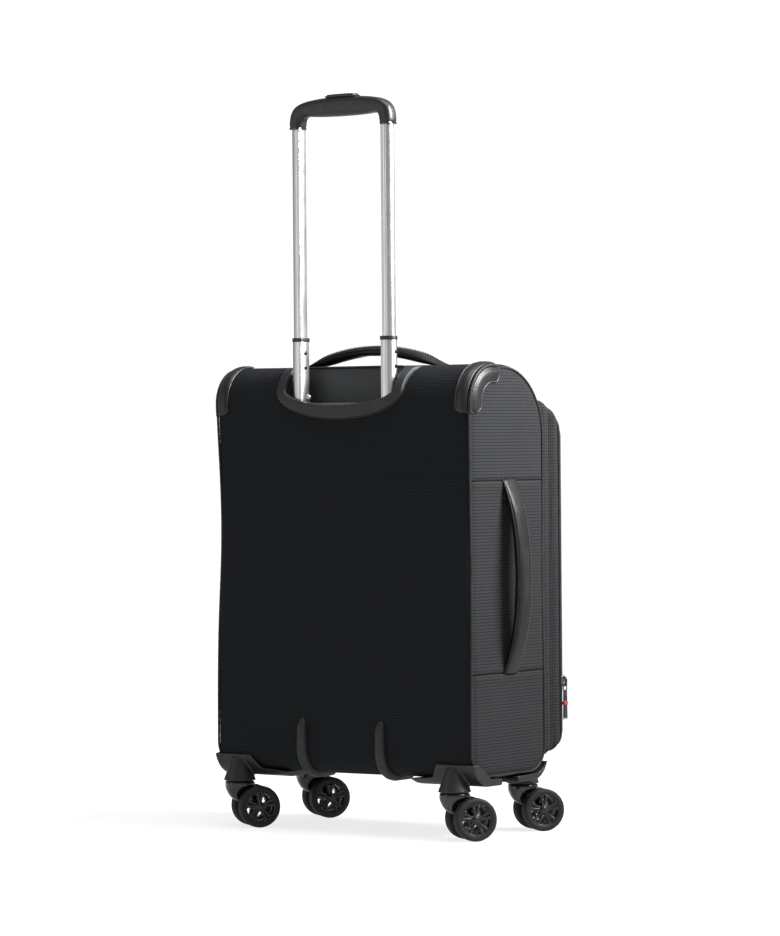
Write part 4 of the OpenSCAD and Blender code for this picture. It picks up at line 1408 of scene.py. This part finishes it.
def face_zip():
    """The straight zip across the front pocket's face, under a stitched flap."""
    place = joint("front_pull_turn")[0]
    z, y = place[2] + 1.5, FACE_Y + 0.4
    span = spread(-FACE_ZIP_HALF, FACE_ZIP_HALF, 2)
    path = together(span, y, z)
    for side, mark in ((1, "a"), (-1, "b")):
        teeth = teeth_row("face_zip_teeth_" + mark, path, (0, -1, 0), side, TEETH)
        finish_piece(teeth, "lid", "zip_metal")
        lip = path[::4] + [0, -0.2, side * 4.2]
        roll = sweep("face_zip_lip_" + mark, lip, squared(4.2, 1.6, 3, 12), LIT_SIDE_CLOTH, (0, -1, 0))
        finish_piece(roll, "lid", "fabric_side")
        row = finish_piece(stitch_row(lip + [0, -0.9, side * 0.9], (0, -1, 0)), "lid", "fabric_side")
        row.name = "face_zip_stitches_" + mark


# ---------------------------------------------------------------- casters

def caster_matrix(caster):
    """The caster's own frame: the swivel axis on Z and the wheels trailing along +X."""
    across = joint(f"spin_{caster}_b")[1]
    pivot = joint("swivel_" + caster)[0]
    trail_way = np.array([across[1], -across[0], 0])
    turn = Matrix((trail_way, across, (0, 0, 1))).transposed().to_4x4()
    return Matrix.Translation((pivot[0], pivot[1], 0)) @ turn


WHEEL_R = box_mm("tyre_rear_left_a")[1][2] / 2
TRAIL = float(np.linalg.norm((joint("spin_rear_left_a")[0] - joint("swivel_rear_left")[0])[:2]))
WHEEL_OUT = 22.0
HUB_R = box_mm("hub_rear_left_a")[1][2] - WHEEL_R


def wheel_parts(name, matrix):
    """A tyre with two tread grooves, and a dished wheel with five pairs of spokes."""
    r = WHEEL_R
    tread = [(HUB_R + 0.3, 7.9), (r - 3.2, 7.7), (r - 1.2, 8.3), (r - 0.25, 9.8), (r, 11.4), (r, 12.6),
             (r - 0.5, 12.9), (r - 0.5, 13.5), (r, 13.8), (r, 16.2), (r - 0.5, 16.5), (r - 0.5, 17.1),
             (r, 17.4), (r, 19.0), (r - 0.3, 20.4), (r - 1.2, 21.5), (r - 2.8, WHEEL_OUT),
             (r - 5.6, WHEEL_OUT - 0.1),
             (HUB_R + 0.3, WHEEL_OUT - 0.7)]
    tyre = lathe("tyre_" + name, tread, RUBBER, matrix, 96)
    rim = [(HUB_R + 0.35, 8.2), (HUB_R + 0.35, 21.4), (HUB_R - 0.1, 21.6), (HUB_R - 0.7, 21.2),
           (HUB_R - 1.3, 19.6), (HUB_R - 1.7, 16.0), (HUB_R - 1.7, 9.4), (HUB_R - 1.1, 8.4)]
    centre = [(3.05, 7.7), (5.6, 7.7), (6.0, 9.5), (6.0, 18.4), (5.8, 19.3), (5.2, 19.8), (4.9, 19.5),
              (4.5, 19.7), (4.2, 20.9), (3.2, 21.6), (1.6, 22.0), (0, 22.1), (0, 21.6), (3.05, 21.55)]
    parts = [lathe("rim", rim, WHEEL, None, 64), lathe("centre", centre, WHEEL, None, 40)]
    for pair in range(5):
        for lean in (-1, 1):
            root, tip = 1.3 * lean, 2.9 * lean
            line = [(3.4, root * 0.8, 16.6), (6.0, root, 16.8), (9.0, root * 1.25, 17.0),
                    (12.5, tip * 0.84, 17.6), (15.2, tip, 18.4), (HUB_R - 0.6, tip * 1.2, 18.9)]
            sizes = [(1.2, 1.1), (1.1, 1.0), (1.0, 1.0), (1.05, 1.0), (1.3, 1.0), (1.9, 1.0)]
            spoke = sweep("spoke", line, squared(3.0, 4.6, 5, 20), WHEEL, sizes=sizes)
            spoke.data.transform(Matrix.Rotation(math.radians(72 * pair + 18), 4, "Z"))
            parts.append(spoke)
    hub = placed(joined("hub_" + name, parts), matrix)
    return tyre, hub


def fork_sections():
    """Rows of [height, leading edge, trailing edge, half width] down the fork, in the caster's frame."""
    return [(55.4, -16.6, 16.6, 16.6), (54.6, -17.2, 17.2, 17.2), (51.2, -17.4, 17.8, 17.4),
            (50.6, -17.4, 18.4, 17.3), (48.5, -17.6, 19.5, 16.8), (45, -16.6, 21.5, 15.2),
            (41, -14.8, 23.5, 13.4), (37, -12.4, 25, 11.6), (33.5, -8.6, 25.8, 9.4), (30.6, -3.4, 26, 7.4),
            (28, 2, 26, 6.2), (25, 7.6, 26, 6), (22, 11.5, 25.2, 5.9), (19.8, 14.6, 23.6, 5.6),
            (18.7, 17, 21.6, 4.2)]


def fork(caster):
    """The swivel fork: a round plate that flows into a curved horn, and a web between the wheels."""
    rows = []
    across = np.linspace(0, math.pi, 19)
    for z, lead, trail_edge, half in fork_sections():
        x = (lead + trail_edge) / 2 - (trail_edge - lead) / 2 * np.cos(across)
        y = half * np.sin(across) ** 0.8
        chord = np.sqrt(max(0.0, (WHEEL_R + 0.9) ** 2 - (z - WHEEL_R) ** 2))
        beside = ease((x - (TRAIL - chord)) / 2.2 + 1) if chord > 0 else np.zeros_like(x)
        y = y + (np.minimum(y, 6.0) - y) * beside
        ring = np.concatenate([np.column_stack([x, y]), np.column_stack([x, -y])[1:-1][::-1]])
        rows.append(np.column_stack([ring, np.full(len(ring), z)]))
    grid = np.array(rows)
    faces = ring_faces(*grid.shape[:2])
    body = face_outward(new_piece("fork_shape_" + caster, grid.reshape(-1, 3), faces, GLOSS))
    soften(body)
    placed(body, caster_matrix(caster))
    return finish_piece(body, f"caster_{caster}", "plastic_gloss", "fork_" + caster)


def housing(caster):
    """A corner housing: the CAD moulding with its edges and inner corners melted round."""
    name = "housing_" + caster
    shape = linked(name + "_moulding", frame["nodes"][name].data.copy())
    shape.data.materials.clear()
    shape.data.materials.append(SHELL)
    remesh = shape.modifiers.new("skin", "REMESH")
    remesh.mode = "VOXEL"
    remesh.voxel_size = 1.15 * MM
    remesh.use_smooth_shade = True
    smooth = shape.modifiers.new("melt", "SMOOTH")
    smooth.factor, smooth.iterations = 0.5, 9
    settle(shape)
    shape.data.shade_smooth()
    return finish_piece(shape, "case", "plastic_matte", name)


def casters():
    """Four casters, each with two wheels."""
    for caster in CASTERS:
        housing(caster)
        fork(caster)
        for side, mark in ((-1, "a"), (1, "b")):
            wheel = f"{caster}_{mark}"
            place, axis = joint("spin_" + wheel)
            out = axis * side
            x_way = np.array([axis[1], -axis[0], 0])
            turn = Matrix((x_way, np.cross(out, x_way), out)).transposed().to_4x4()
            tyre, hub = wheel_parts(wheel, Matrix.Translation(place) @ turn)
            finish_piece(tyre, "wheel_" + wheel, "tyre_rubber", "tyre_" + wheel)
            finish_piece(hub, "wheel_" + wheel, "wheel_plastic", "hub_" + wheel)


# ---------------------------------------------------------------- inside the case

def board():
    """The lined board that hides the trolley tubes inside the case."""
    low, high = box_mm("back_board") + np.array([[5, 0, 0], [-5, 0, 0]])
    x, z = np.meshgrid(spread(low[0], high[0], 12), spread(low[2], high[2], 12))
    y = low[1] + 0.7 * np.sin(x / 43) * np.sin(z / 57)
    cover = grid_piece("lined_board", np.stack([x, y, z], axis=2), LINING, np.stack([x, z], axis=2))
    thicken(cover, 2.2, -1.0)
    return finish_piece(cover, "case", "lining", "back_board")


def straps():
    """Two packing straps over the board, with a buckle on each."""
    low, high = box_mm("packing_straps")
    half = 19.0
    pieces, buckles = [], []
    for side in (LEFT, RIGHT):
        x = side * (high[0] - half)
        z = spread(low[2], high[2], 9)
        y = low[1] + 0.4 + 0.8 * np.sin(z / 23 + side)
        path = together(x, y, z)
        pieces.append(sweep("strap", path, squared(2 * half, 1.5, 8, 24), TAPE, (0, -1, 0)))
        middle = (low[2] + high[2]) / 2
        for part, wide, tall, front, back, edge, material in (("buckle", 23, 21, 4, 1.5, 2.4, GLOSS),
                                                              ("catch", 14, 8, 5.4, -3, 1.2, MATTE)):
            buckles.append(rounded_box(part, [x - wide, low[1] - front, middle - tall],
                                       [x + wide, low[1] + back, middle + tall], edge, material))
    finish_piece(joined("packing_webbing", pieces), "case", "webbing", "packing_straps")
    finish_piece(joined("strap_buckles", buckles), "case", "plastic_gloss")


def lid_net():
    """The flat pocket inside the lid, with an elastic top edge."""
    y = POCKET_Y + 5.5
    half, foot, top = 150, 130, 400
    x, z = np.meshgrid(spread(-half, half, 10), spread(foot, top, 10))
    sag = 2.4 * np.sin(np.pi * (x + half) / (2 * half)) * ease((z - foot) / 200)
    net = grid_piece("lid_pocket", np.stack([x, y + sag, z], axis=2), LINING, np.stack([x, z], axis=2))
    thicken(net, 0.6, 0)
    finish_piece(net, "lid", "lining")
    edge = np.column_stack([x[-1], y + sag[-1], z[-1]])
    hem = sweep("lid_pocket_hem", edge, squared(9, 1.8, 4, 14), TAPE, (0, 1, 0))
    finish_piece(hem, "lid", "webbing")


def keep_cad():
    """CAD pieces whose shape is already right get their finish."""
    finishes = {"outer_tubes": ALLOY, "trolley_base": MATTE, "frame_strip": STEEL, "swivel_pins": STEEL,
                "push_rods": STEEL}
    finishes.update({"axle_" + caster: STEEL for caster in CASTERS})
    for node, material in finishes.items():
        data = frame["nodes"][node].data
        data.materials.clear()
        data.materials.append(material)


def recess_screw():
    """The pan-head screw at the foot of the right tube."""
    place = (46, CUP_HIGH[1] - 1.5, CUP_LOW[2] + 4)
    turn = Matrix.Translation(place) @ Matrix.Rotation(-math.pi / 2, 4, "X")
    profile = [(0, -4), (1.8, -4), (1.8, 0), (3.4, 0), (3.5, 0.7), (3.0, 1.7), (1.8, 2.3), (0.7, 2.45),
               (0.55, 1.6), (0, 1.6)]
    return finish_piece(lathe("recess_screw", profile, STEEL, turn, 28), "case", "steel")


# ---------------------------------------------------------------- camera, floor and light

IMAGE_H = 936
CAMERA_AT = (-2759.9, 3773.7, 466.5)
CAMERA_YAW, CAMERA_PITCH, CAMERA_ROLL = 36.0, 0.4673, -0.4812
CAMERA_REACH = 3937.58


def camera():
    """A long lens at the height of the case's middle, turned 36 degrees from behind."""
    yaw, pitch, roll = (math.radians(a) for a in (CAMERA_YAW, CAMERA_PITCH, CAMERA_ROLL))
    back = Vector((-math.sin(yaw) * math.cos(pitch), math.cos(yaw) * math.cos(pitch), math.sin(pitch)))
    right = (-back).cross(Vector((0, 0, 1))).normalized()
    up = right.cross(-back)
    turned_right = right * math.cos(roll) + up * math.sin(roll)
    turned_up = up * math.cos(roll) - right * math.sin(roll)
    data = bpy.data.cameras.new("camera")
    data.sensor_width = 36
    data.lens = CAMERA_REACH * data.sensor_width / IMAGE_H
    data.clip_end = 100
    found = linked("camera", data)
    turn = Matrix((turned_right, turned_up, back)).transposed().to_4x4()
    found.matrix_world = Matrix.Translation([c * MM for c in CAMERA_AT]) @ turn
    bpy.context.scene.camera = found


FLOOR_LIGHT = 0.62


def floor():
    """A plain pale floor that reaches past the horizon and lights the object less than it shows."""
    shader = Shader("pale_floor", (0.3, 0.3, 0.3), 0.9, specular=0.05)
    source = shader.coordinates()[0]
    speck = shader.ramp(shader.noise(source, 40, 3), [(0.3, 0.29), (0.7, 0.31)])
    away = shader.node("VectorMath", {0: source}, operation="LENGTH").outputs["Value"]
    glow = shader.ramp(shader.math("MULTIPLY", away, 0.25), [(0.12, 0.78), (0.5, 0.98)])
    seen = shader.node("LightPath", {}).outputs["Is Camera Ray"]
    glow = shader.math("MULTIPLY", glow, shader.math("MAXIMUM", seen, FLOOR_LIGHT))
    shader.set(shader.base, {"Emission Color": (1, 1, 1, 1)})
    material = shader.finish(Base_Color=speck, Emission_Strength=glow)
    reach = 60000
    corners = [(-reach, -reach, 0), (reach, -reach, 0), (reach, reach, 0), (-reach, reach, 0)]
    plane = new_piece("floor", corners, [(0, 1, 2, 3)], material)


def softbox(name, place, aim, width, height, power, spread=180):
    """A rectangular studio light; the sizes are in metres and the spread in degrees."""
    data = bpy.data.lights.new(name, "AREA")
    data.shape = "RECTANGLE"
    data.size, data.size_y = width, height
    data.energy = power
    data.spread = math.radians(spread)
    light = linked(name, data)
    light.location = place
    light.rotation_euler = (Vector(aim) - Vector(place)).to_track_quat("-Z", "Y").to_euler()


def studio():
    """White surroundings, a strong soft key from the left side and dim fills."""
    world = bpy.data.worlds.new("studio")
    bpy.context.scene.world = world
    world.use_nodes = True
    tree = world.node_tree
    background = tree.nodes["Background"]
    background.inputs[0].default_value = (1, 1, 1, 1)
    background.inputs[1].default_value = 0.34
    seen = tree.nodes.new("ShaderNodeBackground")
    seen.inputs[1].default_value = 1.05
    seen.inputs[0].default_value = (1, 1, 1, 1)
    pick = tree.nodes.new("ShaderNodeMixShader")
    path = tree.nodes.new("ShaderNodeLightPath")
    tree.links.new(path.outputs["Is Camera Ray"], pick.inputs[0])
    tree.links.new(background.outputs[0], pick.inputs[1])
    tree.links.new(seen.outputs[0], pick.inputs[2])
    tree.links.new(pick.outputs[0], tree.nodes["World Output"].inputs[0])
    softbox("key", (-1.25, -0.4, 1.5), (0.3, 0.1, 0.95), 0.9, 0.9, 43, 100)
    softbox("top", (-0.4, 0.2, 3.2), (0, 0, 0.4), 1.6, 1.2, 45)
    softbox("back_card", (1.9, 2.7, 1.1), (0, 0, 0.6), 1.6, 2.2, 9)
    bpy.context.scene.view_settings.view_transform = "Standard"


# ---------------------------------------------------------------- the suitcase

def suitcase():
    case_cover()
    under_cover()
    for side in (LEFT, RIGHT):
        side_cover(side)
        side_piping(side)
        lay_seam_shade_cords(side)
        corner_guard(side)
        back_skid(side)
    trolley_surround()
    recess_cup()
    recess_screw()
    tube_pair("mid_tubes", ALLOY, MID_LOW, MID_HIGH, "mid_stage")
    tube_pair("inner_tubes", ALLOY, INNER_LOW, INNER_HIGH, "handle")
    studs()
    collars()
    grip()
    release_button()
    top_handle()
    side_handle()
    front_frame()
    front_form()
    loop_zip("main_zip", ZIP_Y, 1.2, "case", "lid")
    loop_zip("pocket_zip", POCKET_ZIP_Y, 1.2, "lid", "lid", above=165)
    face_zip()
    for name in ("main", "side", "front"):
        zip_slider(name)
        zip_puller(name)
    casters()
    board()
    straps()
    lid_net()
    keep_cad()


camera()
floor()
studio()
suitcase()
